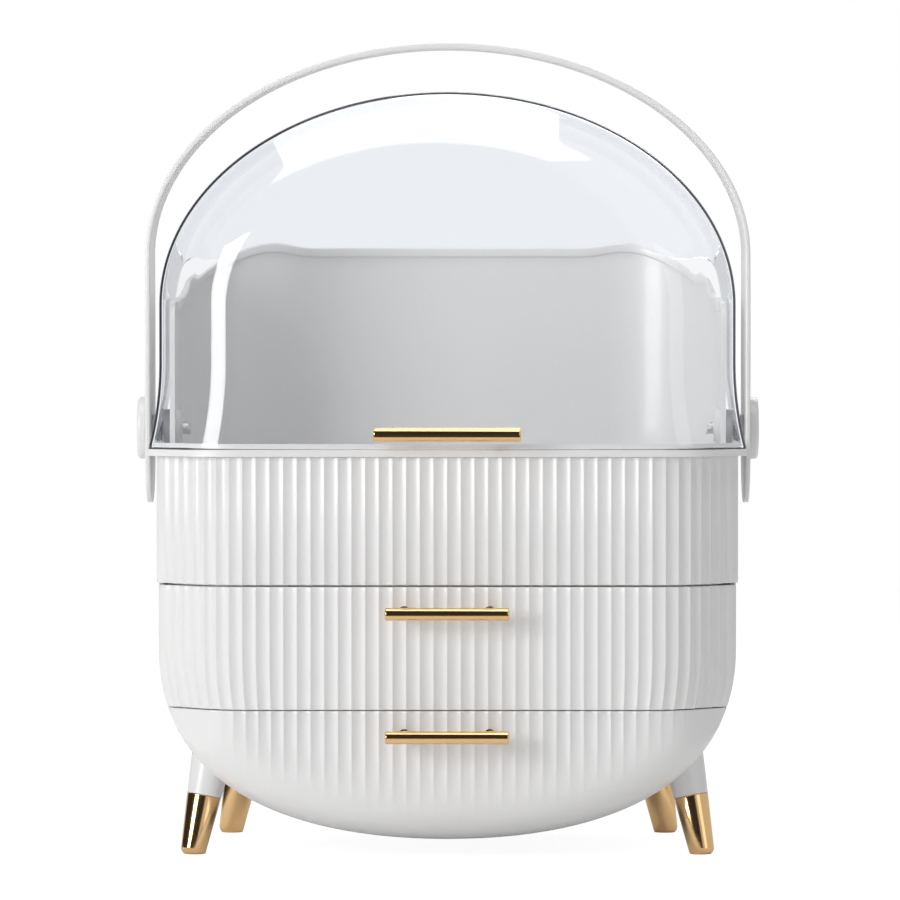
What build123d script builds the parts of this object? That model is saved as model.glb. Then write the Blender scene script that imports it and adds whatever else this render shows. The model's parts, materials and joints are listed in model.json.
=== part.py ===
from build123d import *
import os
from math import asin, cos, degrees, radians, sin, tan

# A free-standing makeup organizer: a ribbed body with two drawers and an open bin,
# a clear hood that flips back, and a strap handle on the same side pivots.
# Millimetres, +Z up, the front faces -Y, the floor is z = 0.
# Every shape is drawn with y = 0 on the plane of the side pivots. The last step moves
# all pieces along y, so that the finished object's box is centred on the origin.

# Body seen from the front
body_half_width = 136.3
bin_overhang = 0.9
belly_bottom_z = 8.0
belly_height = 89.4
belly_fullness = 0.64
lower_height = 62.45
upper_height = 58.2
bin_height = 60.45
seam_gap = 0.9

# Body seen from above
front_reach = 94.0
front_depth = 32.0
rear_reach = 82.0
corner_radius = 38.0
corner_turn = 44.0
corner_straight = 23.0
rear_step = 3.5
belly_rounding = 28.0
rear_rounding = 14.0

# Flutes of the three front bands
flute_pitch = 6.39
flute_depth = 0.9

# Walls and general clearances
casing_wall = 2.4
skin = 3.4
belly_wall = 3.0
box_wall = 2.0
shelf_thickness = 2.0
flange_thickness = 2.0
part_gap = 0.3
slide_gap = 0.3
side_gap = 2.6
box_back_gap = 6.6
wall_bite = 0.5

# Bin tray and its rim
tray_wall = 2.0
rim_side_overhang = 4.0
rim_front_overhang = 2.5
rim_thickness = 3.0
lip_height = 2.9
lip_thickness = 1.5
lip_gap = 1.4

# Fence of the rear shell around the bin, with heights from the hood's foot and
# places across from the side of the body
fence_height = 96.6
fence_crown_rise = 2.5
fence_shoulder_drop = 11.0
fence_side_drop = 25.0
fence_flat_inset = 70.3
fence_crown_inset = 51.3
fence_shoulder_inset = 14.3
fence_corner_radius = 52.0
ledge_thickness = 2.0
wing_drop = 27.0
wing_corner = 9.0
wing_rise = 36.0

# Side pivots
pivot_rise = 8.6
shaft_radius = 4.0
running_gap = 0.05
boss_radius = 9.0
boss_length = 8.0
pad_radius = 16.0
pad_thickness = 4.5
pad_clearance = 2.0
axial_gap = 0.1
knob_radius = 15.0
knob_thickness = 4.3
knob_edge = 1.8

# Clear hood, with heights from its foot
hood_side_inset = 0.3
hood_side_height = 67.7
hood_arch_height = 100.5
hood_flare_height = 40.6
hood_rear_edge_height = 92.1
hood_wall = 2.0
hood_rear_gap = 2.0
hood_rear_rounding = 12.0
hood_rear_corner = 10.0
hood_sweep_gap = 0.8
foot_spare = 7.0

# Strap handle
strap_room = 1.4
strap_side_thickness = 2.4
strap_top_thickness = 2.9
strap_spring_rise = 24.3
strap_arch_extra = 1.5
strap_paddle_radius = 25.0
strap_paddle_drop = 36.0
strap_paddle_rise = 49.0
strap_shoulder_rise = 5.6
strap_shoulder_half = 22.5
strap_slope_drop = 19.4
strap_slope_half = 13.0
strap_top_half = 10.25

# Bars, screws and washers
drawer_bar_length = 58.0
drawer_bar_radius = 3.05
hood_bar_length = 68.8
hood_bar_radius = 3.3
bar_standoff = 12.4
bar_end_rounding = 0.8
post_radius = 2.4
post_inset = 9.0
post_seat = 1.0
upper_bar_drop = 12.55
lower_bar_drop = 11.85
hood_bar_rise = 7.2
screw_radius = 1.5
screw_hole_gap = 0.05
screw_bite = 7.0
screw_head_radius = 2.9
screw_head_height = 1.9
screw_slot_width = 0.9
screw_slot_depth = 0.8
washer_thickness = 0.9
washer_radius = 6.5

# Legs
front_foot_inset = 15.4
front_foot_set_back = 6.0
rear_foot_inset = 28.5
rear_foot_set_in = 19.0
leg_splay = 11.0
leg_lean = 8.0
cap_length = 28.0
cap_foot_radius = 6.0
cap_top_radius = 8.2
cap_edge = 3.4
cap_wall = 0.9
leg_root_length = 64.0
leg_root_radius = 11.0
spigot_radius = 4.0
glue_gap = 0.05

# Runner rails of the lower drawer
rail_x = 62.0
rail_width = 5.0

# Stops of the drawers
ear_length = 8.0
ear_height = 10.0
ear_reach = 2.2
stop_length = 3.0
stop_set_back = 11.7

# Values worked out from the driving dimensions
belly_side_z = belly_bottom_z + belly_height
lower_seam_z = belly_bottom_z + lower_height
upper_seam_z = lower_seam_z + upper_height
bin_top_z = upper_seam_z + bin_height
hood_bottom_z = bin_top_z + rim_thickness + part_gap
pivot_z = hood_bottom_z + pivot_rise
hood_flare_z = hood_bottom_z + hood_flare_height
hood_arch_z = hood_bottom_z + hood_side_height
hood_rear_edge_z = hood_bottom_z + hood_rear_edge_height
fence_centre_z = hood_bottom_z + fence_height
fence_shoulder_z = fence_centre_z - fence_shoulder_drop
fence_side_z = fence_centre_z - fence_side_drop
wing_front_z = fence_centre_z - wing_drop
strap_arch_z = hood_arch_z + strap_spring_rise
strap_arch_height = hood_arch_height + strap_arch_extra
strap_top_z = strap_arch_z + strap_arch_height
strap_bottom_z = pivot_z - strap_paddle_drop
strap_paddle_top_z = pivot_z + strap_paddle_rise
upper_bar_z = upper_seam_z - upper_bar_drop
lower_bar_z = lower_seam_z - lower_bar_drop
hood_bar_z = hood_bottom_z + hood_bar_rise
shelf_low_z = lower_seam_z - shelf_thickness / 2
shelf_top_z = lower_seam_z + shelf_thickness / 2

bin_half_width = body_half_width + bin_overhang
rim_half_width = bin_half_width + rim_side_overhang
hood_foot_half_width = rim_half_width
hood_half_width = body_half_width - hood_side_inset
boss_outer_x = hood_foot_half_width - pad_thickness - part_gap
boss_inner_x = boss_outer_x - boss_length
strap_inner_x = hood_foot_half_width + strap_room
strap_half_width = strap_inner_x + strap_side_thickness
knob_inner_x = strap_half_width + part_gap
fence_flat_x = body_half_width - fence_flat_inset
fence_crown_x = body_half_width - fence_crown_inset
fence_shoulder_x = body_half_width - fence_shoulder_inset
front_foot_x = body_half_width - front_foot_inset
rear_foot_x = body_half_width - rear_foot_inset
box_inset = rear_step + casing_wall + side_gap

front_back_y = front_depth - front_reach
step_y = -pad_radius - pad_clearance
front_foot_y = front_back_y + front_foot_set_back
rear_foot_y = rear_reach - rear_foot_set_in
hood_rear_y = rear_reach + hood_rear_gap + hood_wall
bar_reach = bar_standoff + max(hood_bar_radius, drawer_bar_radius)
pivot_y = (front_reach + bar_reach - hood_rear_y) / 2
ear_back_y = rear_reach - rear_rounding
stop_back_y = front_back_y + stop_set_back

arc_x = corner_radius * sin(radians(corner_turn))
arc_length = corner_radius * radians(corner_turn)
corner_inset = arc_x + corner_straight * cos(radians(corner_turn))
big = 900.0


# Helpers that carry a flat face along an axis


def along_y(face, front_y, back_y):
    """Solid of a front-view face (x, z) carried from front_y back to back_y."""
    return Pos(0, back_y, 0) * extrude(Plane.XZ * face, back_y - front_y)


def along_x(face, start_x, end_x):
    """Solid of a side-view face (y, z) carried from start_x to end_x."""
    return Pos(start_x, 0, 0) * extrude(Plane.YZ * face, end_x - start_x)


def along_z(face, low_z, top_z):
    """Solid of a plan face (x, y) carried from low_z up to top_z."""
    return Pos(0, 0, low_z) * extrude(face, top_z - low_z)


def slab(low_z, top_z):
    """Everything between two heights."""
    return Pos(0, 0, (low_z + top_z) / 2) * Box(big, big, top_z - low_z)


def behind(y):
    """Everything at the back of a given y."""
    return Pos(0, y + big / 2, 0) * Box(big, big, 2 * big)


def round_x(radius, start_x, end_x, y, z):
    """Round bar along X."""
    return Pos((start_x + end_x) / 2, y, z) * Rot(0, 90, 0) * Cylinder(radius, end_x - start_x)


def round_y(radius, front_y, back_y, x, z):
    """Round bar along Y."""
    return Pos(x, (front_y + back_y) / 2, z) * Rot(90, 0, 0) * Cylinder(radius, back_y - front_y)


def both_sides(part):
    """A piece and its mirror image across the middle plane."""
    return part + mirror(part, Plane.YZ)


# Outlines


def body_outline(inset, half_width, top_z):
    """Front view of the body: upright sides over a belly drawn as one curve a side."""
    half = half_width - inset
    low_z = belly_bottom_z + inset
    reach = belly_fullness * (belly_side_z - low_z)
    side = Line((half, top_z), (half, belly_side_z))
    pull_x = belly_fullness * half
    curve = Bezier((half, belly_side_z), (half, belly_side_z - reach), (pull_x, low_z), (0, low_z))
    right = side + curve
    top = Line((-half, top_z), (half, top_z))
    return make_face(right + mirror(right, Plane.YZ) + top)


def plan_point(distance, inset, half_width):
    """Point of the plan path at a distance from the middle, drawn inset from the crests."""
    flat = half_width - corner_inset
    centre_y = corner_radius - front_reach
    radius = corner_radius - inset
    if distance <= flat:
        return (distance, inset - front_reach)
    angle = min((distance - flat) / corner_radius, radians(corner_turn))
    straight = max(distance - flat - arc_length, 0.0)
    x = flat + radius * sin(angle) + straight * cos(radians(corner_turn))
    y = centre_y - radius * cos(angle) + straight * sin(radians(corner_turn))
    return (x, y)


def closed_plan(middle, right, end, back_y):
    """Plan face from its middle front edge and the edges of its right front half."""
    half = right + Line(end, (end[0], back_y))
    back = Line((-end[0], back_y), (end[0], back_y))
    return make_face(middle + half + mirror(half, Plane.YZ) + back)


def side_corner(point, side_x):
    """Where the slanted line of the plan corner, followed from a point, meets the side."""
    return (side_x, point[1] + (side_x - point[0]) * tan(radians(corner_turn)))


def fluted_plan(half_width, back_y):
    """Plan with hollow flutes between sharp crests that stand on the plan path."""
    path_length = half_width - corner_inset + arc_length + corner_straight
    crest = 0.0
    right = Curve()
    while crest + flute_pitch <= path_length:
        start = plan_point(crest, 0, half_width)
        hollow = plan_point(crest + flute_pitch / 2, flute_depth, half_width)
        crest = crest + flute_pitch
        right = right + ThreePointArc(start, hollow, plan_point(crest, 0, half_width))
    last = plan_point(crest, 0, half_width)
    corner = side_corner(last, half_width)
    return closed_plan(Curve(), right + Line(last, corner), corner, back_y)


def smooth_plan(inset, half_width, side_x, back_y):
    """Plan without flutes, parallel to the crests, its sides cut off at side_x."""
    flat = half_width - corner_inset
    start = plan_point(flat, inset, half_width)
    halfway = plan_point(flat + arc_length / 2, inset, half_width)
    end = plan_point(flat + arc_length, inset, half_width)
    corner = side_corner(end, side_x)
    middle = Curve() + Line((-flat, start[1]), (flat, start[1]))
    right = Curve() + ThreePointArc(start, halfway, end) + Line(end, corner)
    return closed_plan(middle, right, corner, back_y)


def rounded_front(inset, front_y, back_y, rounding, half_width):
    """Body outline carried along Y, its front edge rounded all the way round."""
    solid = along_y(body_outline(inset, half_width, big / 2), front_y, back_y)
    edges = [e for e in solid.faces().sort_by(Axis.Y)[0].edges() if e.center().Z < big / 2 - 1]
    return fillet(edges, rounding)


def rounded_back(inset, front_y, back_y, rounding, half_width):
    """Body outline carried along Y, its back edge rounded all the way round."""
    solid = along_y(body_outline(inset, half_width, big / 2), front_y, back_y)
    edges = [e for e in solid.faces().sort_by(Axis.Y)[-1].edges() if e.center().Z < big / 2 - 1]
    return fillet(edges, rounding)


# Casing


def fence_profile():
    """Front view that cuts the top of the rear shell to its waved line."""
    half = body_half_width
    flat = Line((0, fence_centre_z), (fence_flat_x, fence_centre_z))
    wave = Spline(
        (fence_flat_x, fence_centre_z),
        (fence_crown_x, fence_centre_z + fence_crown_rise),
        (fence_shoulder_x, fence_shoulder_z),
        (half, fence_side_z),
        tangents=[(1, 0), (1, -1)],
    )
    right = flat + wave + Line((half, fence_side_z), (half, -1))
    return make_face(right + mirror(right, Plane.YZ) + Line((-half, -1), (half, -1)))


def wing_profile():
    """Side view that cuts the wings: low in front, rising to the rear wall."""
    back_y = rear_reach + 1
    rise_y = rear_reach - fence_corner_radius
    high_z = fence_centre_z + fence_crown_rise + 1
    front = Line((step_y - 1, 0), (step_y - 1, bin_top_z))
    front = front + Line((step_y - 1, bin_top_z), (step_y, bin_top_z))
    nose = Line((step_y, bin_top_z), (step_y, wing_front_z - wing_corner))
    corner_y = step_y + wing_corner
    centre_z = wing_front_z - wing_corner
    corner = CenterArc((corner_y, centre_z), wing_corner, 90, 90)
    top = Line((corner_y, wing_front_z), (rise_y, fence_side_z))
    end_y = rise_y + wing_rise
    lift = Bezier((rise_y, fence_side_z), (end_y, fence_side_z), (rise_y, high_z), (end_y, high_z))
    rest = Line((end_y, high_z), (back_y, high_z)) + Line((back_y, high_z), (back_y, 0))
    return make_face(front + nose + corner + top + lift + rest + Line((back_y, 0), (step_y - 1, 0)))


def hood_sweep_room():
    """Room that the opening hood leaves free: its inner outline turned about the pivots."""
    half = hood_half_width - hood_wall - hood_sweep_gap
    spring = hood_arch_z - pivot_z
    rise = hood_arch_height - hood_wall - hood_sweep_gap
    arch = EllipticalCenterArc((0, spring), half, rise, 0, arc_size=90)
    right = Line((half, 0), (half, spring)) + arch
    face = make_face(right + mirror(right, Plane.YZ) + Line((-half, 0), (half, 0)))
    return Pos(0, 0, pivot_z) * revolve(Plane.XZ * face, Axis.X, 360)


def rear_casing():
    """Filled rear half of the casing below the pivots."""
    return rounded_back(rear_step, step_y, rear_reach, rear_rounding, body_half_width)


def rear_cavity():
    """What the rear half of the casing is hollowed out by."""
    back_y = rear_reach - casing_wall
    rounding = rear_rounding - casing_wall
    return rounded_back(rear_step + casing_wall, step_y - 1, back_y, rounding, body_half_width)


def fence_block(inset):
    """Block inside the fence's wall, its two rear corners widely rounded."""
    half = body_half_width - rear_step - inset
    front_y = step_y - inset
    back_y = rear_reach - inset
    block = Pos(0, (front_y + back_y) / 2, bin_top_z) * Box(2 * half, back_y - front_y, big)
    corners = block.edges().filter_by(Axis.Z).group_by(Axis.Y)[-1]
    return fillet(corners, fence_corner_radius - inset)


def make_fence():
    """Fence and wings above the tray, standing on a ledge that closes the rear corners."""
    ledge_z = bin_top_z + part_gap
    top_z = ledge_z + ledge_thickness
    ledge = (rear_casing() & slab(ledge_z, top_z)) - fence_block(casing_wall)
    wall = (fence_block(0) - fence_block(casing_wall)) & slab(ledge_z, big / 2)
    wall = wall & along_y(fence_profile(), step_y - 1, rear_reach + 1)
    wall = wall & along_x(wing_profile(), -big / 2, big / 2) & hood_sweep_room()
    return ledge + wall


def make_rear_shell():
    """Narrow rear half of the casing, with the pivot bosses, rails and fence."""
    casing = (rear_casing() - rear_cavity()) & slab(0, bin_top_z + part_gap)
    bosses = both_sides(round_x(boss_radius, boss_inner_x, boss_outer_x, 0, pivot_z))
    bores = both_sides(round_x(shaft_radius + running_gap, boss_inner_x - 1, boss_outer_x + 1, 0, pivot_z))
    rails = lower_rails(rear_step + casing_wall, step_y, ear_back_y)
    return casing + make_fence() + bosses + rails - bores - spigot_holes()


def lower_rails(inset, front_y, back_y):
    """Two ribs on the casing floor that carry the lower drawer."""
    blocks = both_sides(Pos(rail_x, (front_y + back_y) / 2, 0) * Box(rail_width, back_y - front_y, big / 4))
    outer = body_outline(inset - wall_bite, body_half_width, big / 2)
    ring = outer - body_outline(box_inset - slide_gap, body_half_width, big / 2)
    return blocks & along_y(ring, front_y, back_y) & slab(0, lower_seam_z / 2)


def make_front_frame():
    """Wider belt of the casing that the drawer fronts close against."""
    start_y = front_back_y + part_gap
    outline = body_outline(0, body_half_width, big / 2)
    ring = outline - body_outline(casing_wall, body_half_width, big / 2)
    flange = outline - body_outline(rear_step + casing_wall, body_half_width, big / 2)
    frame = along_y(ring, start_y, step_y) + along_y(flange, step_y - flange_thickness, step_y)
    frame = frame + lower_rails(casing_wall, start_y, step_y)
    frame = frame & slab(0, upper_seam_z + seam_gap / 2)
    return frame + drawer_stops() - spigot_holes()


def side_ring(outer_inset, inner_inset, front_y, back_y, z, height):
    """Blocks on both sides between two outlines, such as ears and stops."""
    outer = body_outline(outer_inset, body_half_width, big / 2)
    ring = along_y(outer - body_outline(inner_inset, body_half_width, big / 2), front_y, back_y)
    return ring & slab(z - height / 2, z + height / 2)


def drawer_stops():
    """Blocks inside the belt that the ears of the pulled drawers meet."""
    outer_inset = casing_wall - wall_bite
    inner_inset = box_inset - part_gap
    start_y = stop_back_y - stop_length
    upper = side_ring(outer_inset, inner_inset, start_y, stop_back_y, upper_ear_z(), ear_height)
    lower = side_ring(outer_inset, inner_inset, start_y, stop_back_y, lower_ear_z(), ear_height)
    return upper + lower


def drawer_ears(z):
    """Ears on both sides of a drawer box that meet the stops."""
    front_y = ear_back_y - ear_length
    return side_ring(box_inset - ear_reach, box_inset + wall_bite, front_y, ear_back_y, z, ear_height)


def box_back_y():
    """Back face of the drawer boxes."""
    return rear_reach - casing_wall - box_back_gap


def upper_ear_z():
    """Height of the ears of the upper drawer."""
    return upper_seam_z - shelf_thickness / 2 - ear_height


def lower_ear_z():
    """Height of the ears of the lower drawer, above the turn of the belly."""
    return lower_seam_z - shelf_thickness / 2 - ear_height


def make_middle_shelf():
    """Shelf under the upper drawer, wider inside the belt than behind it."""
    inset = rear_step + casing_wall
    back_y = rear_reach - casing_wall
    flange_y = step_y - flange_thickness
    rear = rounded_back(inset, flange_y, back_y, rear_rounding - casing_wall, body_half_width)
    front = along_y(body_outline(casing_wall, body_half_width, big / 2), front_back_y + part_gap, flange_y)
    return (rear + front) & slab(shelf_low_z, shelf_top_z)


# Bin


def make_bin_front():
    """Fluted band round the front of the bin, with a flange behind each side."""
    low_z = upper_seam_z + seam_gap / 2
    outer = along_z(fluted_plan(bin_half_width, step_y), low_z, bin_top_z)
    inner_side = bin_half_width - casing_wall
    inner = along_z(smooth_plan(skin, bin_half_width, inner_side, step_y + 1), low_z - 1, bin_top_z + 1)
    flange_x = body_half_width - rear_step - casing_wall
    flange = along_z(smooth_plan(skin, bin_half_width, bin_half_width - 1, step_y), low_z, bin_top_z)
    hole = Box(2 * flange_x, big, big)
    flange = (flange & behind(step_y - flange_thickness)) - hole
    return (outer - inner) + flange


def make_bin_tray():
    """Open tray of the bin with the rim that the hood closes on."""
    inset = rear_step + casing_wall + part_gap
    side_x = body_half_width - inset
    back_y = rear_reach - casing_wall - part_gap
    floor_z = upper_seam_z
    outer = rounded_back(inset, -big / 2, back_y, rear_rounding - casing_wall, body_half_width)
    outer = outer & along_z(smooth_plan(skin, bin_half_width, side_x, back_y), floor_z, bin_top_z)
    inner_side = side_x - tray_wall
    rounding = rear_rounding - casing_wall - tray_wall
    inner = rounded_back(inset + tray_wall, -big / 2, back_y - tray_wall, rounding, body_half_width)
    inner_plan = smooth_plan(skin + tray_wall, bin_half_width, inner_side, back_y)
    tub = outer - (inner & along_z(inner_plan, floor_z + tray_wall, big))
    rim_back_y = step_y - part_gap
    rim_top_z = bin_top_z + rim_thickness
    rim_plan = smooth_plan(-rim_front_overhang, rim_half_width, rim_half_width, rim_back_y)
    rim = along_z(rim_plan, bin_top_z, rim_top_z) + make_rim_lip(rim_back_y, rim_top_z)
    mouth = smooth_plan(skin + tray_wall, bin_half_width, inner_side, big / 4)
    return tub + (rim - along_z(mouth, floor_z, big / 2))


def make_rim_lip(back_y, low_z):
    """Ridge on the rim that centres the closed hood."""
    outer_inset = hood_wall + lip_gap
    outer_x = hood_foot_half_width - outer_inset
    inner_x = outer_x - lip_thickness
    outer = smooth_plan(outer_inset, hood_foot_half_width, outer_x, back_y)
    inner = smooth_plan(outer_inset + lip_thickness, hood_foot_half_width, inner_x, back_y + 1)
    return along_z(outer - inner, low_z, low_z + lip_height)


# Drawers


def box_shape(extra, low_z, rounding):
    """Solid that a drawer box fills, drawn smaller by extra all round."""
    side_x = body_half_width - box_inset - extra
    back_y = box_back_y() - extra
    front_y = skin + extra - front_reach
    solid = rounded_front(box_inset + extra, front_y, back_y, rounding - extra, body_half_width)
    plan = along_z(smooth_plan(skin + extra, body_half_width, side_x, back_y), low_z + extra, big / 2)
    return solid & plan


def drawer_box(low_z, top_z, ear_z, bar_z, rounding):
    """Open box with two ears at its back end and holes for the bar's screws."""
    outer = box_shape(0, low_z, rounding) & slab(0, top_z)
    box = outer - box_shape(box_wall, low_z, rounding)
    return box + drawer_ears(ear_z) - screw_holes(drawer_bar_length, bar_z, skin + box_wall + 1)


def make_upper_box():
    """Box of the upper drawer."""
    top_z = upper_seam_z - part_gap
    return drawer_box(shelf_top_z + slide_gap, top_z, upper_ear_z(), upper_bar_z, belly_rounding - 4)


def make_lower_box():
    """Box of the lower drawer, which follows the belly."""
    return drawer_box(0, shelf_low_z - part_gap, lower_ear_z(), lower_bar_z, belly_rounding - 4)


def make_front(low_z, top_z, bar_z):
    """Fluted drawer front, a skin that wraps round the corners and the belly."""
    outer = along_z(fluted_plan(body_half_width, front_back_y), low_z, top_z)
    outer = outer & rounded_front(0, -front_reach, front_back_y, belly_rounding, body_half_width)
    inner_side = body_half_width - casing_wall
    back_y = front_back_y + 1
    inner = along_z(smooth_plan(skin, body_half_width, inner_side, back_y), low_z - 1, top_z + 1)
    rounding = belly_rounding - belly_wall
    inner = inner & rounded_front(belly_wall, belly_wall - front_reach, back_y, rounding, body_half_width)
    front = outer - inner
    seats = post_seats(drawer_bar_length, bar_z)
    return front - seats - screw_holes(drawer_bar_length, bar_z, skin + box_wall + 1)


def make_upper_front():
    """Front of the upper drawer, between the two seams."""
    return make_front(lower_seam_z + seam_gap / 2, upper_seam_z - seam_gap / 2, upper_bar_z)


def make_lower_front():
    """Front of the lower drawer, from the lower seam down round the belly."""
    return make_front(0, lower_seam_z - seam_gap / 2, lower_bar_z)


# Bars and their screws


def post_places(length):
    """Distance of each bar's posts from the middle."""
    return length / 2 - post_inset


def post_seats(length, z):
    """Shallow round seats in a front for the posts of its bar."""
    x = post_places(length)
    return both_sides(round_y(post_radius + running_gap, -front_reach - 1, post_seat - front_reach, x, z))


def screw_holes(length, z, depth):
    """Clearance holes through a front for the screws of its bar."""
    x = post_places(length)
    return both_sides(round_y(screw_radius + screw_hole_gap, -front_reach, depth - front_reach, x, z))


def make_bar(length, radius, z, seat):
    """Pull bar with rounded ends on two posts, which are bored for the screws."""
    bar = round_x(radius, -length / 2, length / 2, -front_reach - bar_standoff, z)
    bar = fillet(bar.edges().filter_by(GeomType.CIRCLE), bar_end_rounding)
    x = post_places(length)
    post_end = seat - front_reach
    posts = both_sides(round_y(post_radius, -front_reach - bar_standoff, post_end, x, z))
    pilot_end = post_end - screw_bite - 1
    pilots = both_sides(round_y(screw_radius + screw_hole_gap, pilot_end, post_end + 1, x, z))
    return bar + posts - pilots


def make_bar_screws(length, z, panel, seat):
    """Two screws driven from inside through a panel into the posts."""
    x = post_places(length)
    seat_y = panel - front_reach
    tip_y = seat - front_reach - screw_bite
    shank = round_y(screw_radius, tip_y, seat_y, x, z)
    head = round_y(screw_head_radius, seat_y, seat_y + screw_head_height, x, z)
    slot = Box(2 * screw_head_radius, 2 * screw_slot_depth, screw_slot_width)
    return both_sides(shank + head - Pos(x, seat_y + screw_head_height, z) * slot)


# Hood


def flare_radius():
    """Radius of the curve that spreads the hood's sides out to its foot."""
    out = hood_foot_half_width - hood_half_width
    height = hood_flare_z - hood_bottom_z
    return (height**2 + out**2) / (2 * out)


def arch_half(inset):
    """Right half of the hood's front view, from below its foot to the top."""
    radius = flare_radius()
    turn = degrees(asin((hood_flare_z - hood_bottom_z + foot_spare) / radius))
    flare = CenterArc((hood_half_width + radius, hood_flare_z), radius + inset, 180, turn)
    half = hood_half_width - inset
    side = Line((half, hood_flare_z), (half, hood_arch_z))
    arch = EllipticalCenterArc((0, hood_arch_z), half, hood_arch_height - inset, 0, arc_size=90)
    return Curve() + flare + side + arch


def arch_face(inset):
    """Front view of the hood, drawn smaller by inset."""
    right = arch_half(inset)
    low = right.vertices().sort_by(Axis.Y)[0]
    return make_face(right + mirror(right, Plane.YZ) + Line((-low.X, low.Y), (low.X, low.Y)))


def edge_cutter(inset):
    """What the front corner of the hood loses, carried round the whole arch."""
    radius = flare_radius()
    turn = asin((hood_flare_z - hood_bottom_z + foot_spare) / radius)
    foot_x = hood_half_width + radius - radius * cos(turn)
    foot_z = hood_flare_z - radius * sin(turn)
    inward = (-cos(turn), 0, -sin(turn))
    start = Plane((foot_x, 0, foot_z), x_dir=inward, z_dir=(-sin(turn), 0, cos(turn)))
    corner = radians(corner_turn)
    small_radius = corner_radius - inset
    centre_y = front_reach - corner_radius
    spare = foot_spare / 2
    far_y = front_reach + spare
    top = (corner_inset, centre_y + small_radius)
    low = (corner_inset - small_radius * sin(corner), centre_y + small_radius * cos(corner))
    middle_x = corner_inset - small_radius * sin(corner / 2)
    middle = (middle_x, centre_y + small_radius * cos(corner / 2))
    end = (-spare, low[1] - (low[0] + spare) * tan(corner))
    section = ThreePointArc(top, middle, low) + Line(low, end)
    section = section + Line(end, (-spare, far_y))
    section = section + Line((-spare, far_y), (corner_inset, far_y)) + Line((corner_inset, far_y), top)
    path = arch_half(0)
    path = Plane.XZ * Wire((path + mirror(path, Plane.YZ)).edges())
    return sweep(start * make_face(section), path=path)


def hood_solid(inset, rounding):
    """Filled hood, drawn smaller by inset, with its slanted front corner and round back."""
    solid = along_y(arch_face(inset), inset - front_reach, hood_rear_y - inset)
    back = solid.faces().sort_by(Axis.Y)[-1]
    edges = [e for e in back.edges() if abs(e.center().X) > 1 or e.center().Z > hood_arch_z]
    return fillet(edges, rounding) - edge_cutter(inset)


def hood_side_cut():
    """Side view of what is missing behind the pivots: a line rises to the rear edge."""
    rise = hood_rear_edge_z
    inner_y = pad_radius - 2
    low_y = hood_rear_y + 5
    slope = Line((0, hood_bottom_z), (inner_y, pivot_z + pad_radius / 2))
    corner_start = (hood_rear_y - hood_rear_corner, rise - hood_rear_corner / 2)
    slope = slope + Line((inner_y, pivot_z + pad_radius / 2), corner_start)
    turn = Bezier(corner_start, (hood_rear_y - hood_rear_corner / 2, rise), (hood_rear_y, rise))
    floor_z = hood_bottom_z - big / 4
    rest = Line((hood_rear_y, rise), (low_y, rise)) + Line((low_y, rise), (low_y, floor_z))
    rest = rest + Line((low_y, floor_z), (0, floor_z))
    return make_face(slope + turn + rest + Line((0, floor_z), (0, hood_bottom_z)))


def make_hood():
    """Clear hood with a flat pad round each pivot."""
    shell = hood_solid(0, hood_rear_rounding) - hood_solid(hood_wall, hood_rear_rounding - hood_wall)
    shell = shell & slab(hood_bottom_z, big)
    shell = shell - along_x(hood_side_cut(), -big / 2, big / 2)
    pad_outer_x = hood_foot_half_width
    pad_inner_x = pad_outer_x - pad_thickness
    pads = both_sides(round_x(pad_radius, pad_inner_x, pad_outer_x, 0, pivot_z))
    room = both_sides(round_x(boss_radius + 1, boss_inner_x, pad_inner_x, 0, pivot_z))
    bores = both_sides(round_x(shaft_radius + running_gap, boss_inner_x, pad_outer_x + 1, 0, pivot_z))
    return (shell - room) + pads - bores - screw_holes(hood_bar_length, hood_bar_z, hood_wall + 1)


# Handle and pivots


def strap_width_profile():
    """Side view of the strap: a round paddle at the pivot, narrow at the top."""
    round_z = strap_bottom_z + strap_paddle_radius
    diagonal = strap_paddle_radius * sin(radians(45))
    side_point = (strap_paddle_radius, round_z)
    bottom = ThreePointArc((0, strap_bottom_z), (diagonal, round_z - diagonal), side_point)
    side = Line((strap_paddle_radius, round_z), (strap_paddle_radius, strap_paddle_top_z))
    taper = Spline(
        (strap_paddle_radius, strap_paddle_top_z),
        (strap_shoulder_half, strap_arch_z + strap_shoulder_rise),
        (strap_slope_half, strap_top_z - strap_slope_drop),
        (strap_top_half, strap_top_z),
        tangents=[(0, 1), (-0.1, 1)],
    )
    high_z = strap_top_z + foot_spare
    right = bottom + side + taper + Line((strap_top_half, strap_top_z), (strap_top_half, high_z))
    top = Line((-strap_top_half, high_z), (strap_top_half, high_z))
    return make_face(right + mirror(right, Plane.YZ) + top)


def strap_face():
    """Front view of the strap: straight legs under a half ellipse."""
    faces = []
    for half, height in (
        (strap_half_width, strap_arch_height),
        (strap_inner_x, strap_arch_height - strap_top_thickness),
    ):
        arch = EllipticalCenterArc((0, strap_arch_z), half, height, 0, arc_size=90)
        right = Curve() + Line((half, 0), (half, strap_arch_z)) + arch
        faces.append(make_face(right + mirror(right, Plane.YZ) + Line((-half, 0), (half, 0))))
    return faces[0] - faces[1]


def make_handle():
    """Strap handle with a hole in each paddle."""
    strap = along_y(strap_face(), -2 * strap_paddle_radius, 2 * strap_paddle_radius)
    strap = strap & along_x(strap_width_profile(), -big / 2, big / 2)
    bore = round_x(shaft_radius + running_gap, strap_inner_x - 1, strap_half_width + 1, 0, pivot_z)
    return strap - both_sides(bore)


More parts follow.
